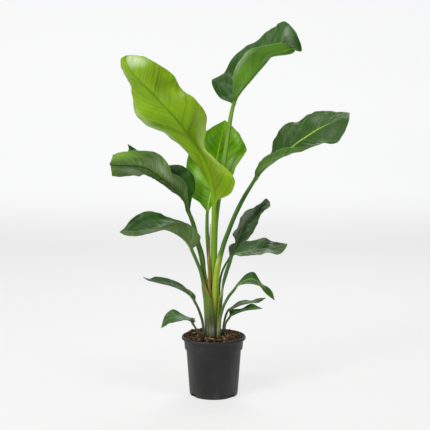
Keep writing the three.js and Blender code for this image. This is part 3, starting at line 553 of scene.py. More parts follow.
def blade_rows(name):
    """The blade's rows, each of twelve numbers."""
    *rows, tip = BLADES[name]
    before, tip = np.array(rows[-1], float), np.array(tip)
    side = unit(before[6:9] - before[3:6]) * TIP_HALF_WIDTH
    rows.append((*tip, *(tip - side), *(tip + side), 0, 0))
    return np.array([row if len(row) == 12 else (*row, 0.5) for row in rows], float)


def channel(row, side, ahead, q, share=1.0, curl=0.0):
    """Upper and lower points of a bent strip, for q from -1 to 1 across it and a share of its thickness."""
    side = unit(side - ahead * np.sum(side * ahead, axis=1, keepdims=True))
    up = np.cross(side, ahead)
    half, thickness, bend = row[:, 3:4], row[:, 4:5], row[:, 5:6]
    radius = half / bend
    faces = []
    for sign in (1, -1):
        reach = radius - sign * share * thickness * np.sqrt(1 - STALK_FLATNESS * q * q) / 2
        across, lift = reach * np.sin(q * bend), radius - reach * np.cos(q * bend) - curl
        faces.append(row[:, None, :3] + side[:, None] * across[..., None] + up[:, None] * lift[..., None])
    return faces


def stalk_sections(name, at, q):
    """Upper and lower points of a stalk, for places along it and q from -1 to 1 across it."""
    rows = np.array(STALKS[name], float)
    base = np.array(BLADES[name][0], float)
    outward = math.radians(OUTWARD[name])
    foot_side = np.array([math.sin(outward), -math.cos(outward), 0])
    blade_side = unit(base[6:9] - base[3:6])
    ahead = heading(np.array([*rows[:, :3], base[:3]]), at)
    turn = ease(1.4 * at / (len(rows) - 1) - 0.4)[:, None]
    return channel(curve(rows, at), mix(foot_side, blade_side, turn), ahead, q)


def blade_middle(rows, at, s):
    """The middle surface of a blade. s runs from 0, the midrib, to 1, the margin, on both halves."""
    row = curve(rows, at)
    ahead = heading(rows, at)
    rib = row[:, 0:3]
    halves = []
    for sign, start, bow, out, phase in ((-1, 3, 9, 0.5, 0), (1, 6, 10, row[:, 11:12], 2)):
        half = row[:, start : start + 3] - rib
        width = np.linalg.norm(half, axis=1, keepdims=True)
        up = unit(np.cross(sign * half, ahead))
        control = rib + half * out + up * row[:, bow : bow + 1] * width
        ripple = RIPPLE_HEIGHT * width * s * s * np.sin(RIPPLE_TURNS * at + phase)[:, None]
        k = s[..., None]
        points = rib[:, None] * (1 - k) ** 2 + control[:, None] * 2 * k * (1 - k)
        points = points + (rib + half)[:, None] * k * k
        halves.append(points + up[:, None] * ripple[..., None])
    left, right = halves
    return np.concatenate([left[:, :0:-1], right], axis=1)


def columns(rib_edge, steps):
    """Places from the middle of the midrib, 0, to the margin, 1, closer together on the midrib."""
    inner = np.linspace(0, 1, RIB_STEPS + 1)[None, :]
    outer = np.linspace(0, 1, steps - RIB_STEPS + 1)[None, 1:]
    return np.concatenate([rib_edge * inner, mix(rib_edge, 1, outer)], axis=1)


def sides(steps):
    """-1 for each column of the left half, 0 for the midrib and 1 for each column of the right half."""
    return np.sign(np.arange(2 * steps + 1) - steps)[None, :]


def both_sides(s):
    """A value for the left half, mirrored, and for the right half, with one column for the midrib."""
    return np.concatenate([s[:, :0:-1], s], axis=1)


def spread_over(middle, steps):
    """How far each point of a surface lies from its middle column and along it, in millimetres."""
    spans = np.linalg.norm(np.diff(middle, axis=1), axis=2)
    across = np.zeros(middle.shape[:2])
    across[:, steps + 1 :] = np.cumsum(spans[:, steps:], axis=1)
    across[:, :steps] = np.cumsum(spans[:, :steps][:, ::-1], axis=1)[:, ::-1]
    return across, np.broadcast_to(run_of(middle[:, steps])[:, None], across.shape)


def lean_of_veins(across, progress, young):
    """How far a side vein runs along the leaf for each millimetre that it runs out."""
    curl = across / np.maximum(across.max(axis=1, keepdims=True), 1)
    if young:
        return mix(1.5, 0.95, np.sqrt(progress)) * (1 + 0.1 * curl)
    return mix(0.35, 0.9, progress) * (1 + 0.35 * curl)


def blade_sections(name, at, steps, seed, young):
    """Upper and lower points of a blade, and for each column its share of the way to the rib's edge."""
    rows = blade_rows(name)
    base = STALKS[name][-1]
    along = np.sqrt(at / (len(rows) - 1))[:, None]
    rib = mix(RIB_WIDTH_AT_BASE * base[3], RIB_HALF_WIDTH_AT_TIP, along)
    depth = mix(RIB_DEPTH_AT_BASE * base[4], RIB_DEPTH_AT_TIP, along)
    row = curve(rows, at)
    widths = [np.linalg.norm(row[:, k : k + 3] - row[:, :3], axis=1, keepdims=True) for k in (3, 6)]
    width = 0.5 * (widths[0] + widths[1])
    rib_edge = np.clip(rib / width, 0.03, RIB_SHARE_OF_STALK)
    s = columns(rib_edge, steps)
    middle = blade_middle(rows, at, s)
    normal = unit(np.cross(np.gradient(middle, axis=1), np.gradient(middle, axis=0)))
    out = both_sides(s)
    side = sides(steps)
    at = at[:, None]
    wave = np.sin(5.1 * at + seed + 1.3 * side) + 0.6 * np.sin(8.3 * at + 2 * seed - side)
    swell = np.sin(1.9 * at + 7 * out * side + seed) * np.sin(9 * out + seed) * out
    fade = np.clip((width - 12) / 40, 0, 1)
    across, along = spread_over(middle, steps)
    vein = along - across * lean_of_veins(across, along / along[-1:], young)
    phase = seed + 2 * (side < 0)
    pleats = np.sin(vein / 2.1 + phase) + 0.9 * np.sin(vein / 3.4 + 2 * phase)
    pleats = (pleats + 1.2 * np.sin(vein / 6.3 - phase)) * np.clip(out * 4, 0, 1) * (1.15 - out)
    height = FLUTTER * wave * out**4 + SWELL * swell + PLEAT * pleats
    middle = middle + normal * (fade * height)[..., None]
    lift = 0.5 * mix(BLADE_THICKNESS, EDGE_THICKNESS, out)
    keel = np.sqrt(np.clip(1 - (out / rib_edge) ** 2, 0, 1))
    upper = middle + normal * (lift - 0.25 * depth * keel**2)[..., None]
    lower = middle - normal * (lift + depth * keel)[..., None]
    return upper, lower, out / rib_edge


def joined(first, second, count):
    """Rings that lead smoothly from the last of first to the start of second."""
    a, b = first[-1], second[0]
    reach = 3.0
    leave, arrive = (first[-1] - first[-2]) * reach, (second[1] - second[0]) * reach
    t = (np.arange(count) + 1.0)[:, None, None] / (count + 1)
    ends = a * (1 + t * t * (2 * t - 3)) + b * t * t * (3 - 2 * t)
    return ends + leave * t * (1 - t) ** 2 - arrive * t * t * (1 - t)


def quads(sheet):
    """The four-sided faces between the neighbours in a sheet of point numbers."""
    corners = sheet[:-1, :-1], sheet[:-1, 1:], sheet[1:, 1:], sheet[1:, :-1]
    return np.stack([corner.ravel() for corner in corners], axis=1)


def skin(name, upper, lower, values, material):
    """A closed skin over two faces of points, ring by ring, with values for its shader."""
    rings, count = upper.shape[:2]
    points = np.concatenate([upper, lower], axis=1)
    corner = np.arange(rings * 2 * count).reshape(rings, 2, count)
    top, bottom = corner[:, 0], corner[:, 1]
    edges = (bottom[:, 0], top[:, 0]), (top[:, -1], bottom[:, -1]), (top[0], bottom[0]), (bottom[-1], top[-1])
    sheets = [top, bottom.T, *(np.stack(pair, axis=1) for pair in edges)]
    faces = np.concatenate([quads(sheet) for sheet in sheets])
    piece = made(name, points.reshape(-1, 3), faces.tolist(), material)
    carry(piece, {key: np.concatenate(value, axis=1).ravel() for key, value in values.items()})
    return piece


def carry(piece, values):
    """Writes one number of each kind to each of a piece's points, for its shader."""
    for key, value in values.items():
        piece.data.attributes.new(key, "FLOAT", "POINT").data.foreach_set("value", value)


def placed(name, data):
    """A new object in the scene."""
    thing = bpy.data.objects.new(name, data)
    bpy.context.scene.collection.objects.link(thing)
    return thing


def made(name, points, faces, material, smooth=True):
    """A new piece from points in millimetres."""
    mesh = bpy.data.meshes.new(name)
    mesh.from_pydata((np.asarray(points) * MM).tolist(), [], faces)
    mesh.materials.append(material)
    if smooth:
        mesh.shade_smooth()
    mesh.update()
    piece = placed(name, mesh)
    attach(piece, "root")
    return piece


def run_of(points):
    """The distance run along the middle column, ring by ring."""
    steps = np.linalg.norm(np.diff(points, axis=0), axis=1)
    return np.concatenate([[0], np.cumsum(steps)])


def leaf_piece(name, material, seed):
    """One leaf: its stalk, the rings that lead from it to the blade, and the blade."""
    young = name == "leaf_young"
    steps, blade_rings = SMALL_STEPS_AND_RINGS if name in SMALL_LEAVES else STEPS_AND_RINGS
    stalk_last = len(STALKS[name]) - 1
    blade_last = len(BLADES[name]) - 1
    stalk_at = np.linspace(0, stalk_last, stalk_last * STALK_RINGS + 1)
    blade_at = np.linspace(0, blade_last, blade_last * blade_rings + 1)
    q = both_sides(columns(RIB_SHARE_OF_STALK, steps)) * sides(steps)
    stalk_faces = stalk_sections(name, stalk_at, q)
    *blade_faces, rib = blade_sections(name, blade_at, steps, seed, young)
    upper, lower = (
        np.concatenate([stalk, joined(stalk, blade, JOIN_RINGS), blade])
        for stalk, blade in zip(stalk_faces, blade_faces)
    )
    stalk_rings = len(stalk_at)

    # What the shader reads. In millimetres: the distance across from the midrib, the distance along, the
    # distance to the margin, and a number that stays the same along each side vein. As shares: the way to
    # the margin, to the midrib's edge, into the blade and out to its tip. On the underside, under is 1.
    across, along = spread_over(0.5 * (upper + lower), steps)
    side = sides(steps) * np.ones_like(across)
    margin = np.where(side < 0, across[:, :1], across[:, -1:]) - across
    start = along[stalk_rings]
    progress = np.clip((along - start) / (along[-1] - start), 0, 1)
    vein = along - across * lean_of_veins(across, progress, young)
    blade = ease((np.arange(len(upper))[:, None] - stalk_rings) / (JOIN_RINGS + 4))
    rib_all = np.zeros(across.shape)
    rib_all[-len(rib) :] = rib
    upper_and_lower = {
        "across": across * side,
        "share": side * across / np.maximum(across + margin, 1),
        "along": along,
        "margin": margin,
        "vein": vein + VEIN_SHIFT * (side < 0),
        "rib": rib_all,
        "blade": np.broadcast_to(blade, across.shape),
        "progress": progress,
    }
    values = {key: (value, value) for key, value in upper_and_lower.items()}
    values["under"] = (np.zeros_like(across), np.ones_like(across))
    piece = skin(name + "_veined", upper, lower, values, material)
    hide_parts(name)


def strip_piece(material):
    """The dried strip, thinner than its solid, with edges that curl to and fro."""
    rows = np.array(DRIED_STRIP, float)
    at = np.linspace(0, len(rows) - 1, STRIP_RINGS * len(rows))
    q = np.linspace(-1, 1, 2 * STRIP_STEPS + 1)[None, :]
    row = curve(rows, at)
    side = np.array([-1.0, 0, 0]) * np.ones((len(at), 1))
    curl = 0.25 * np.sin(3.7 * at)[:, None] * q * q
    faces = channel(row, side, heading(rows, at), q, 0.8, curl)
    across = q * row[:, 3:4]
    along = np.broadcast_to(run_of(faces[0][:, STRIP_STEPS])[:, None], across.shape)
    values = {"across": (across, across), "along": (along, along)}
    piece = skin("dried_sheath_curl", *faces, values, material)
    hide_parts("dried_sheath")


def rounded(corners, radius, steps=4):
    """An outline with all its corners rounded but the first and the last."""
    corners = [np.array(corner, float) for corner in corners]
    points = [corners[0]]
    for before, corner, after in zip(corners, corners[1:], corners[2:]):
        reach = min(radius, 0.45 * np.linalg.norm(before - corner), 0.45 * np.linalg.norm(after - corner))
        start, end = corner + unit(before - corner) * reach, corner + unit(after - corner) * reach
        for k in range(steps + 1):
            t = k / steps
            points.append(start * (1 - t) ** 2 + corner * 2 * t * (1 - t) + end * t * t)
    return np.array([*points, corners[-1]])


def pot_piece(material):
    """The pot, turned from its profile, with the notches and the drain holes cut into it."""
    ring_inside = BASE_RADIUS - FOOT_RING_WIDTH
    lip_level = POT_HEIGHT - LIP_HEIGHT
    profile = rounded(
        [
            (0, 0),
            (FOOT_DISC_RADIUS, 0),
            (FOOT_DISC_RADIUS, FOOT_HEIGHT),
            (ring_inside, FOOT_HEIGHT),
            (ring_inside, 0),
            (BASE_RADIUS - 1.5, 0),
            (BASE_RADIUS, 4),
            (BODY_TOP_RADIUS, COLLAR_LEVEL - 2),
            (COLLAR_RADIUS, COLLAR_LEVEL),
            (COLLAR_TOP_RADIUS, lip_level),
            (RIM_RADIUS - 1, lip_level + 0.5),
            (RIM_RADIUS, lip_level + 3),
            (RIM_RADIUS, POT_HEIGHT - 4),
            (RIM_RADIUS - 1.5, POT_HEIGHT - 1),
            (RIM_RADIUS - 3, POT_HEIGHT),
            (RIM_RADIUS - 4.5, POT_HEIGHT - 0.4),
            (RIM_RADIUS - 5.5, POT_HEIGHT - 2),
            (COLLAR_TOP_RADIUS - WALL, lip_level),
            (COLLAR_RADIUS - WALL, COLLAR_LEVEL + 3),
            (BODY_TOP_RADIUS - WALL, COLLAR_LEVEL),
            (BASE_RADIUS - WALL, FLOOR_LEVEL),
            (0, FLOOR_LEVEL),
        ],
        radius=1.2,
    )
    angles = np.arange(POT_COLUMNS) * 2 * math.pi / POT_COLUMNS
    ring = profile[1:-1]
    radii = np.broadcast_to(ring[:, 0], (POT_COLUMNS, len(ring)))
    levels = np.array(np.broadcast_to(ring[:, 1], (POT_COLUMNS, len(ring))))
    half_notch = math.asin(NOTCH_WIDTH / 2 / BASE_RADIUS)
    for degrees in NOTCH_ANGLES:
        apart = np.abs((angles - math.radians(degrees) + math.pi) % (2 * math.pi) - math.pi)
        cut = (apart < half_notch)[:, None] & (radii > ring_inside - 1) & (levels < NOTCH_HEIGHT)
        outside = radii > ring_inside + 0.6
        levels[cut & outside] = NOTCH_HEIGHT
        levels[cut & ~outside & (levels < FLOOR_LEVEL)] = FOOT_HEIGHT
    points = np.stack([radii * np.cos(angles)[:, None], radii * np.sin(angles)[:, None], levels], axis=2)
    count = len(ring)
    corner = np.arange(POT_COLUMNS * count).reshape(POT_COLUMNS, count)
    beside = np.roll(corner, -1, axis=0)
    walls = quads(np.concatenate([corner, corner[:1]]).T)
    middles = [(0, 0, profile[0][1]), (0, 0, profile[-1][1])]
    low, high = POT_COLUMNS * count, POT_COLUMNS * count + 1
    caps = [[low, int(beside[i, 0]), int(corner[i, 0])] for i in range(POT_COLUMNS)]
    caps += [[high, int(corner[i, -1]), int(beside[i, -1])] for i in range(POT_COLUMNS)]
    piece = made("pot_moulded", [*points.reshape(-1, 3), *middles], walls.tolist() + caps, material)
    piece.data = without_drains(piece)
    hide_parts("pot")


def without_drains(piece):
    """The piece's mesh with the drain holes cut through the floor."""
    drills = bmesh.new()
    for i in range(DRAIN_HOLES):
        angle = (i + 0.5) / DRAIN_HOLES * 2 * math.pi
        x, y = DRAIN_CIRCLE_RADIUS * math.cos(angle), DRAIN_CIRCLE_RADIUS * math.sin(angle)
        form = {"segments": 32, "radius1": DRAIN_HOLE_RADIUS * MM, "radius2": DRAIN_HOLE_RADIUS * MM}
        drill = bmesh.ops.create_cone(drills, cap_ends=True, depth=DRILL_LENGTH * MM, **form)
        bmesh.ops.translate(drills, verts=drill["verts"], vec=(x * MM, y * MM, DRILL_LEVEL * MM))
    mesh = bpy.data.meshes.new("drills")
    drills.to_mesh(mesh)
    drills.free()
    cutter = placed("drills", mesh)
    cut = piece.modifiers.new("drains", "BOOLEAN")
    cut.object = cutter
    cut.solver = "EXACT"
    shape = bpy.data.meshes.new_from_object(piece.evaluated_get(bpy.context.evaluated_depsgraph_get()))
    piece.modifiers.clear()
    bpy.data.objects.remove(cutter)
    shape.name = "pot_moulded"
    return shape


def soil_level(x, y):
    """The height of the compost: a low crown with lumps, and a heap at the back left."""
    out = np.hypot(x, y) / SOIL_EDGE_RADIUS
    lumps = np.sin(0.19 * x + 1) * np.cos(0.23 * y) + 0.7 * np.sin(0.41 * x - 0.33 * y)
    lumps = lumps + 0.5 * np.sin(0.57 * y + 2)
    heap_x, heap_y = SOIL_HEAP["at"]
    heap = np.hypot(x - heap_x, y - heap_y) / SOIL_HEAP["spread"]
    crown = mix(SOIL_CROWN_LEVEL, SOIL_EDGE_LEVEL, out * out)
    return crown + SOIL_HEAP["height"] * np.exp(-heap * heap) + SOIL_BUMP * lumps * mix(1, 0.35, out)


def stems_at_soil():
    """Where each stalk passes through the compost: x, y and half-width."""
    places = [(*SHOOT_CENTRE, SHOOT_RADIUS)]
    for name in SMALL_LEAVES:
        rows = np.array(STALKS[name], float)
        path = curve(rows, np.linspace(0, len(rows) - 1, 60))
        row = min(path, key=lambda one: abs(one[2] - SOIL_CROWN_LEVEL))
        places.append((row[0], row[1], row[3] + 1))
    return places


def bark_piece(material):
    """Chips of bark, heaped on the compost."""
    draw = random.Random(11)
    ball = bmesh.new()
    bmesh.ops.create_icosphere(ball, subdivisions=1, radius=1)
    ball.verts.ensure_lookup_table()
    form = np.array([vert.co[:] for vert in ball.verts])
    form_faces = np.array([[vert.index for vert in face.verts] for face in ball.faces])
    ball.free()
    stems = stems_at_soil()
    points, faces, tints, grains = [], [], [], []
    for i in range(CHIPS):
        big = i % 6 == 0
        size = draw.uniform(4.5, 8) if big else draw.uniform(1.6, 4.2)
        for _ in range(30):
            radius = (SOIL_EDGE_RADIUS - 0.8 * size - 1) * math.sqrt(draw.random())
            angle = draw.uniform(0, 2 * math.pi)
            if i % 4 == 1:
                x, y = (centre + draw.gauss(0, 15) for centre in SOIL_HEAP["at"])
            else:
                x, y = radius * math.cos(angle), radius * math.sin(angle)
            inside = math.hypot(x, y) + 0.8 * size < SOIL_EDGE_RADIUS
            if inside and all(math.hypot(x - a, y - b) > reach + size for a, b, reach in stems):
                break
        else:
            continue
        scale = np.array([1, draw.uniform(0.45, 0.8), draw.uniform(0.18, 0.5)]) * size
        bumps = 1 + 0.24 * np.array([draw.uniform(-1, 1) for _ in range(len(form))])[:, None]
        turn = Euler((draw.gauss(0, 0.45), draw.gauss(0, 0.45), draw.uniform(0, 2 * math.pi))).to_matrix()
        chip = (form * bumps * scale) @ np.array(turn).T
        level = float(soil_level(x, y)) + draw.uniform(-0.2, 0.75) * scale[2]
        level += draw.uniform(0, 2.5) if big else 0
        faces.append(form_faces + sum(len(one) for one in points))
        points.append(chip + np.array([x, y, level]))
        tints += [draw.random() ** 1.6] * len(form)
        grains += list(form[:, 1] * scale[1] + 10 * draw.random())
    points, faces = np.concatenate(points), np.concatenate(faces).tolist()
    piece = made("bark_chips", points, faces, material, smooth=False)
    carry(piece, {"tint": tints, "grain": grains})


def fibre_piece(name, count, material, length, width, seed, near=None):
    """Loose fibres that lie on the compost, all over it or near a place: thin four-sided strands."""
    draw = random.Random(seed)
    stems = stems_at_soil()
    points, faces, tints = [], [], []
    while len(points) < count * FIBRE_RINGS * 4:
        long, thick = draw.uniform(*length), draw.uniform(*width)
        angle, turn = draw.uniform(0, 2 * math.pi), draw.uniform(0, 2 * math.pi)
        radius = (SOIL_EDGE_RADIUS - 2) * math.sqrt(draw.random())
        middle = np.array([radius * math.cos(angle), radius * math.sin(angle)])
        if near is not None:
            middle = np.array([draw.gauss(near[0], 10), draw.gauss(near[1], 7)])
        bend, lift = draw.uniform(-0.35, 0.35), draw.uniform(0.8, 2.6)
        tint = draw.random()
        s = np.linspace(-0.5, 0.5, FIBRE_RINGS)
        way = turn + 2 * bend * s
        path = middle + np.stack([np.cos(way), np.sin(way)], axis=1) * (s * long)[:, None]
        if np.hypot(*path.T).max() > SOIL_EDGE_RADIUS - 1.5:
            continue
        if any(np.hypot(path[:, 0] - a, path[:, 1] - b).min() < reach + 1 for a, b, reach in stems):
            continue
        level = soil_level(path[:, 0], path[:, 1]) + lift + 1.5 * np.cos(5 * s + tint * 6)
        for k in range(FIBRE_RINGS):
            wide = thick * math.sqrt(max(0.1, 1 - (2 * s[k]) ** 2))
            cross = np.array([-math.sin(way[k]), math.cos(way[k]), 0])
            centre = np.array([*path[k], level[k]])
            up = np.array([0, 0, 0.5])
            points += [centre + wide * offset for offset in (cross, up, -cross, -up)]
        start = len(points) - FIBRE_RINGS * 4
        for k in range(FIBRE_RINGS - 1):
            for j in range(4):
                a, b = start + 4 * k + j, start + 4 * k + (j + 1) % 4
                faces.append([a, a + 4, b + 4, b])
        last = len(points) - 1
        faces += [[start, start + 1, start + 2, start + 3], [last, last - 1, last - 2, last - 3]]
        tints += [tint] * (FIBRE_RINGS * 4)
    piece = made(name, points, faces, material)
    carry(piece, {"tint": tints})


def shade(text):
    """A colour written as #rrggbb, as linear red, green, blue and alpha."""
    parts = [int(text[k : k + 2], 16) / 255 for k in (1, 3, 5)]
    return [*(part / 12.92 if part <= 0.04045 else ((part + 0.055) / 1.055) ** 2.4 for part in parts), 1]


class Value:
    """What a node gives out. Its sums, differences and products are worked out by nodes too."""

    def __init__(self, shader, socket):
        self.shader, self.socket = shader, socket

    def __add__(self, other):
        return self.shader.maths("ADD", self, other)

    def __sub__(self, other):
        return self.shader.maths("SUBTRACT", self, other)

    def __rsub__(self, other):
        return self.shader.maths("SUBTRACT", other, self)

    def __mul__(self, other):
        return self.shader.maths("MULTIPLY", self, other)

    __radd__, __rmul__ = __add__, __mul__


class Shader:
    """A material and the nodes that feed it."""

    def __init__(self, name):
        self.material = bpy.data.materials.new(name)
        self.material.use_nodes = True
        self.tree = self.material.node_tree
        self.surface = self.tree.nodes["Principled BSDF"]

    def put(self, socket, value):
        """Feeds a socket with what a node gives out, with a constant or with a colour like #rrggbb."""
        if isinstance(value, Value):
            self.tree.links.new(value.socket, socket)
        else:
            socket.default_value = shade(value) if isinstance(value, str) else value

    def node(self, kind, inputs, output=0, **settings):
        node = self.tree.nodes.new("ShaderNode" + kind)
        for key, value in settings.items():
            setattr(node, key, value)
        for key, value in inputs.items():
            self.put(node.inputs[key], value)
        return Value(self, node.outputs[output])

    def maths(self, operation, *values):
        return self.node("Math", dict(enumerate(values)), operation=operation)

    def attribute(self, name):
        return self.node("Attribute", {}, "Fac", attribute_name=name)

    def place(self):
        """The place in the object's own space: x, y and z, in metres."""
        place = self.node("TexCoord", {}, "Object")
        return [self.node("SeparateXYZ", {0: place}, axis) for axis in range(3)]

    def length(self, x, y):
        pair = self.node("CombineXYZ", {0: x, 1: y})
        return self.node("VectorMath", {0: pair}, 1, operation="LENGTH")

    def blend(self, a, b, share):
        return self.node("Mix", {0: share, 6: a, 7: b}, 2, data_type="RGBA")

    def fade(self, value, low, high, most=1.0):
        """A soft step of value from 0 at low to most at high."""
        return self.node("MapRange", {0: value, 1: low, 2: high, 4: most}, interpolation_type="SMOOTHSTEP")

    def tone(self, colour, value):
        return self.node("HueSaturation", {"Value": value, "Color": colour})

    def noise(self, x, y, z, detail=2.0):
        place = self.node("CombineXYZ", {0: x, 1: y, 2: z})
        return self.node("TexNoise", {"Vector": place, "Scale": 1.0, "Detail": detail})

    def grain(self, scale, detail, roughness=0.5, stretch=(1, 1, 1)):
        """Noise over the object's own space, with scale per metre."""
        place = self.node("TexCoord", {}, "Object")
        place = self.node("Mapping", {"Vector": place, "Scale": stretch})
        inputs = {"Vector": place, "Scale": scale, "Detail": detail, "Roughness": roughness}
        return self.node("TexNoise", inputs)

    def bump(self, height, depth, normal=None):
        """Bumps of height from 0 to 1, depth in metres."""
        inputs = {"Height": height, "Strength": 1.0, "Distance": depth}
        if normal is not None:
            inputs["Normal"] = normal
        return self.node("Bump", inputs)

    def finish(self, colour, roughness, normal, gloss):
        inputs = self.surface.inputs
        self.put(inputs["Base Color"], colour)
        self.put(inputs["Roughness"], roughness)
        self.put(inputs["Normal"], normal)
        self.put(inputs["Specular IOR Level"], gloss)
        return self.material


class LeafShader(Shader):
    """The skin of one leaf. It reads the values that the leaf's points carry."""

    def __init__(self, name, seed):
        super().__init__(name + "_skin")
        self.name = name
        self.young = name == "leaf_young"
        for key in ("across", "along", "margin", "share", "progress", "vein", "rib", "blade", "under"):
            setattr(self, key, self.attribute(key))
        self.layer = 7.3 * self.under + 3.1 * seed
        self.fine = self.noise(0.42 * self.vein, 0.006 * self.across, self.layer, 2)
        self.pleat = self.noise(0.12 * self.vein, 0.004 * self.across, self.layer, 1)
        self.patch = self.noise(0.011 * self.along, 0.02 * self.across, self.layer, 2)
        self.streak = self.noise(0.7 * self.across, 0.006 * self.along, self.layer, 3)

    def blade_tone(self, upper, under):
        """Side veins close together, broader bands of pleats, slow changes from place to place, and painted
        highlights and shades.
        """
        value = self.fine + 1.2 * self.pleat + 0.8 * self.patch - 0.5
        tone = self.tone(self.blend(upper, under, self.under), value)
        stripe = "#5c9006" if self.young else [*(0.45 * part for part in shade(upper)[:3]), 1]
        tone = self.blend(tone, stripe, self.fade(self.pleat, 0.52, 0.68, 0.3 if self.young else 0.4))
        faces = (1 - self.under, self.under)
        # Painted highlights, sheens and shades, with a few real tints, where the table lists them.
        for place, far, reach, reach_far, side, colour, most in PAINTED_LIGHT_AND_TINTS.get(self.name, []):
            off = self.length((self.share - place) * (1 / reach), (self.progress - far) * (1 / reach_far))
            share = self.fade(off + 0.8 * self.fine + 0.8 * self.pleat, 1.9, 0.9, most)
            tone = self.blend(tone, self.tone(colour, value), share * faces[side])
        # Painted glints: silvery highlights along the veins, in the colour.
        glint = self.noise(0.3 * self.vein, 0.03 * self.across, self.layer + 11.7, 3)
        glint = self.fade(glint, 0.54, 0.68) * self.fade(self.patch, 0.4, 0.6, GLINTS.get(self.name, 0.0))
        tone = self.blend(tone, "#a8b49c", glint)
        pale = "#c3d98a" if self.young else [*(mix(part, 0.45, 0.35) for part in shade(under)[:3]), 1]
        return self.blend(tone, pale, self.fade(self.margin, 1.6, 0.5, 0.6))

    def with_midrib(self, tone, rib, stalk):
        """The midrib, a groove above and a keel below."""
        line = self.noise(0.9 * self.across, 0.01 * self.along, self.layer)
        rib_tone = self.tone(rib, 0.6 * line + 0.7)
        rib_tone = self.blend(rib_tone, stalk, self.under * (0.7 if self.name in PALE_RIBS else 0.0))
        share = self.fade(self.rib, 1.05, 0.55)
        if self.name in RIB_FADES:
            share = share * self.fade(self.progress, *RIB_FADES[self.name])
        elif self.young:
            rib_tone = self.blend("#98c408", rib_tone, self.fade(self.progress, 0.2, 0.45))
        return self.blend(tone, rib_tone, share)

    def stalk_tone(self, stalk, sheath, foot, sheath_top):
        """The stalk, with fine lines along it, the sheath under it and the sheath's foot."""
        cloud = self.noise(0.05 * self.across, 0.02 * self.along, self.layer, 2)
        band = self.noise(0.22 * self.across, 0.005 * self.along, self.layer, 1)
        height = self.along + 40 * cloud
        tone = self.blend(sheath, stalk, self.fade(height, sheath_top - 10, sheath_top + 50))
        tone = self.blend(foot, tone, self.fade(height, 50, 130))
        tone = self.tone(tone, 0.6 * self.streak + 0.4 * cloud + band)
        if self.name not in SMALL_LEAVES:
            tone = self.with_earth(self.with_papery_edges(tone, sheath_top), band)
        return self.blend(tone, "#4a4222", self.fade(self.along, 56, 34, 0.5))

    def with_papery_edges(self, tone, sheath_top):
        """A sheath's thin margin, which turns cream at its tip, or brown where it has dried."""
        dry = self.name in DRY_EDGES
        below = self.fade(self.along, sheath_top + 12, sheath_top - 12)
        at_tip = self.fade(self.along, sheath_top - 30, sheath_top - 8)
        turned = self.fade(self.margin, 9, 2, 0.75) * (below * at_tip)
        tone = self.blend(tone, "#a8804c" if dry else "#d8d890", turned)
        papery = self.fade(self.margin, 4.5 if dry else 2.4, 0.6, 0.85) * below
        return self.blend(tone, DRY_EDGES.get(self.name, "#a3a24c"), papery)

    def with_earth(self, tone, band):
        """An earthy stain low on the front of the shoot, and ashy skin where it meets the compost."""
        x, _, z = self.place()
        off_centre = self.maths("ABSOLUTE", x + 0.005)
        stain = self.fade(off_centre, 0.013, 0.003) * self.fade(z, 0.262, 0.2) * self.fade(band, 0.25, 0.6)
        tone = self.blend(tone, "#3c342e", stain)
        ash = self.fade(off_centre, 0.022, 0.01) * self.fade(z, 0.2, 0.172)
        return self.blend(tone, "#98a08e", ash * self.fade(self.streak, 0.35, 0.65))

    def dressed(self):
        """The finished material."""
        upper, under, rib, stalk, sheath, foot, sheath_top = LOOKS[self.name]
        blade = self.with_midrib(self.blade_tone(upper, under), rib, stalk)
        colour = self.blend(self.stalk_tone(stalk, sheath, foot, sheath_top), blade, self.blade)
        rough = 0.16 * self.fine + 0.08 * self.under + 0.1 * self.patch + 0.33
        veins = 0.5 * self.fine + 0.9 * self.pleat
        height = self.node("Mix", {0: self.blade, 2: 0.5 * self.streak, 3: veins})
        pores = self.noise(2.2 * self.across, 2.2 * self.along, self.layer, 1)
        self.finish(colour, rough, self.bump(height, 0.0011, self.bump(pores, 0.00006)), 0.4)

        # Some of the light comes through the blade.
        through = self.node("BsdfTranslucent", {"Color": self.tone(colour, 1.5)})
        share = self.blade * (0.4 if self.name in ("leaf_young", "leaf_back") else 0.22)
        both = self.node("MixShader", {0: share, 1: Value(self, self.surface.outputs[0]), 2: through})
        self.put(self.tree.nodes["Material Output"].inputs["Surface"], both)
        return self.material


def dried_material():
    sh = Shader("dried_skin")
    across, along = sh.attribute("across"), sh.attribute("along")
    line = sh.noise(1.6 * across, 0.02 * along, 0, 3)
    cloud = sh.noise(0.2 * across, 0.03 * along, 4, 3)
    edge = across + 1.5 * line
    colour = sh.blend("#4c2a0e", "#7c5a28", sh.fade(line, 0.35, 0.7))
    colour = sh.blend(colour, "#9c9048", sh.fade(edge, 0.4, 1.6, 0.9))
    colour = sh.blend(colour, "#a8a060", sh.fade(edge, 0.4, -1.2, 0.6))
    colour = sh.blend(colour, "#5c661c", sh.fade(cloud, 0.5, 0.66, 0.6))
    return sh.finish(colour, 0.3 * cloud + 0.55, sh.bump(line, 0.0006), 0.3)


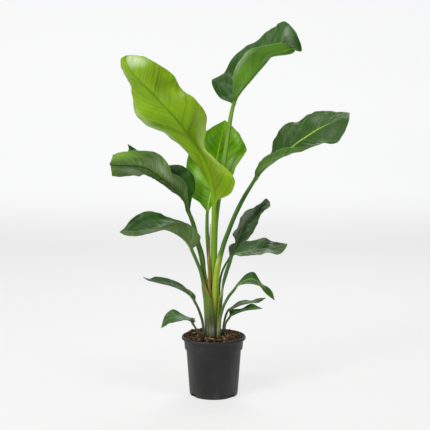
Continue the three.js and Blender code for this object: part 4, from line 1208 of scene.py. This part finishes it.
def pot_material():
    sh = Shader("charcoal_plastic")
    speck, cloud = sh.grain(900, 3), sh.grain(14, 2)
    scuff = sh.grain(60, 4, 0.6, (1, 1, 0.35))
    x, y, level = sh.place()
    colour = sh.blend("#1a1a1a", "#262626", sh.fade(cloud, 0.3, 0.7))
    colour = sh.blend(colour, "#474542", sh.fade(scuff, 0.58, 0.76, 0.35))
    dust = sh.fade(level, 0.03, 0.0, 0.12) * sh.fade(scuff, 0.35, 0.6)
    colour = sh.blend(colour, "#6d665c", dust)

    # Painted shade: the walls behind the notches are painted near black, where they lie in the dark.
    behind = sh.fade(sh.length(x, y), (BASE_RADIUS - 2.2) * MM, PAINTED_SHADE_RADIUS * MM)
    low = sh.fade(level, (NOTCH_HEIGHT + 1.5) * MM, (NOTCH_HEIGHT + 0.5) * MM)
    colour = sh.blend(colour, "#020202", behind * low)

    rings = (0.5 * sh.maths("SINE", 1900.0 * level) + 0.5) * sh.fade(level, 0.118, 0.122)
    normal = sh.bump(rings, 0.00012, sh.bump(speck, 0.00008))
    normal = sh.bump(scuff, 0.0002, normal)
    return sh.finish(colour, 0.2 * speck + 0.15 * scuff + 0.32, normal, 0.35)


def compost_material():
    sh = Shader("compost_crumbs")
    crumb, lump = sh.grain(420, 4, 0.7), sh.grain(90, 3)
    colour = sh.blend("#150b04", "#4a2c12", sh.fade(crumb, 0.36, 0.64))
    colour = sh.blend(colour, "#6a4420", sh.fade(sh.grain(700, 1), 0.66, 0.74, 0.7))
    normal = sh.bump(lump, 0.003, sh.bump(crumb, 0.0016))
    return sh.finish(colour, 0.2 * lump + 0.7, normal, 0.25)


def bark_material():
    sh = Shader("bark_flakes")
    tint, grain = sh.attribute("tint"), sh.attribute("grain")
    line = sh.noise(2.2 * grain, tint, 0, 3)
    colour = sh.blend("#1c1006", "#70491e", sh.fade(tint, 0.05, 0.9))
    colour = sh.blend(colour, "#ab8450", sh.fade(tint, 0.86, 0.98, 0.8))
    colour = sh.tone(colour, 1.1 * line + 0.45)
    normal = sh.bump(sh.grain(900, 2), 0.0003, sh.bump(line, 0.0006))
    return sh.finish(colour, 0.25 * line + 0.6, normal, 0.3)


def fibre_material(name, dark, light):
    sh = Shader(name)
    fleck = sh.grain(500, 2)
    colour = sh.tone(sh.blend(dark, light, sh.attribute("tint")), 0.8 * fleck + 0.6)
    return sh.finish(colour, 0.2 * fleck + 0.6, sh.bump(fleck, 0.0002), 0.3)


def stage():
    """A pale floor, painted dark under the pot as shade, that curves up into a backdrop."""
    sh = Shader("studio_paper")
    tooth = sh.grain(300, 2)
    x, y, level = sh.place()
    # Painted shade: under the pot the floor is near black and gives out no glow.
    lit = sh.fade(sh.length(x, y), (PAINTED_SHADE_RADIUS - 3) * MM, PAINTED_SHADE_RADIUS * MM)
    paper = sh.blend("#7b7a7a", "#807f7f", tooth)
    material = sh.finish(sh.blend("#060606", paper, lit), 0.9, sh.bump(tooth, 0.0001), 0.1)
    glow = sh.blend("#dfdfdf", "#f6f7f7", sh.fade(level, 0.0, 0.3))
    sh.put(sh.surface.inputs["Emission Color"], sh.blend(glow, "#fcfcfc", 0.3 * tooth))
    sh.put(sh.surface.inputs["Emission Strength"], 0.86 * lit)
    arc = np.linspace(0, math.pi / 2, 13)
    bend = [(FLOOR_DEPTH + BACKDROP_BEND * math.sin(a), BACKDROP_BEND * (1 - math.cos(a))) for a in arc]
    outline = [(-4.0, 0.0), *bend, (FLOOR_DEPTH + BACKDROP_BEND, 5.0)]
    faces = [[2 * k, 2 * k + 1, 2 * k + 3, 2 * k + 2] for k in range(len(outline) - 1)]
    mesh = bpy.data.meshes.new("backdrop")
    mesh.from_pydata([(x, y, z) for y, z in outline for x in (-5, 5)], [], faces)
    mesh.materials.append(material)
    mesh.shade_smooth()
    floor = placed("backdrop", mesh)


def lamp(name, place, size, power):
    """A round soft lamp that points at the middle of the plant."""
    light = bpy.data.lights.new(name, "AREA")
    light.shape = "DISK"
    light.size = size
    light.energy = power
    holder = placed(name, light)
    holder.location = place
    holder.rotation_euler = (Vector((0, 0, 0.5)) - Vector(place)).to_track_quat("-Z", "Y").to_euler()


def studio():
    stage()
    lamp("key", (-1.6, -1.8, 2.4), 1.1, 52)
    lamp("overhead", (0.5, -0.9, 3.0), 1.0, 26)
    lamp("behind", (0.3, 1.5, 2.4), 1.2, 30)
    lamp("fill", (2.2, -2.4, 1.4), 2.0, 12)
    lamp("side", (-2.8, -0.6, 1.2), 2.2, 18)
    scene = bpy.context.scene
    world = bpy.data.worlds.new("studio")
    world.use_nodes = True
    background = world.node_tree.nodes["Background"].inputs
    background["Color"].default_value = (1, 1, 1, 1)
    background["Strength"].default_value = 0.1
    scene.world = world
    scene.view_settings.view_transform = "Standard"

    lens = bpy.data.cameras.new("photo_view")
    lens.sensor_width = SENSOR_WIDTH
    lens.lens = SENSOR_WIDTH * FOCAL_PIXELS / PHOTO_PIXELS
    lens.clip_start, lens.clip_end = 0.05, 30
    camera = placed("photo_view", lens)
    camera.location = CAMERA_PLACE
    camera.rotation_euler = (math.pi / 2 - CAMERA_TILT, 0, 0)
    scene.camera = camera


for number, leaf_name in enumerate(STALKS):
    leaf_piece(leaf_name, LeafShader(leaf_name, number).dressed(), number)
strip_piece(dried_material())
pot_piece(pot_material())
for soil_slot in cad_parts["soil"].material_slots:
    soil_slot.material = compost_material()
bark_piece(bark_material())
fibre_piece("coir_fibres", 170, fibre_material("coir", "#4a2f18", "#94683c"), (8, 26), (0.12, 0.3), 5)
straw = fibre_material("straw", "#a5824e", "#e0c490")
fibre_piece("straw_bits", 12, straw, (8, 20), (0.4, 0.9), 9)
fibre_piece("straw_tuft", 16, straw, (8, 18), (0.6, 1.3), 3, (-24, -50))
studio()
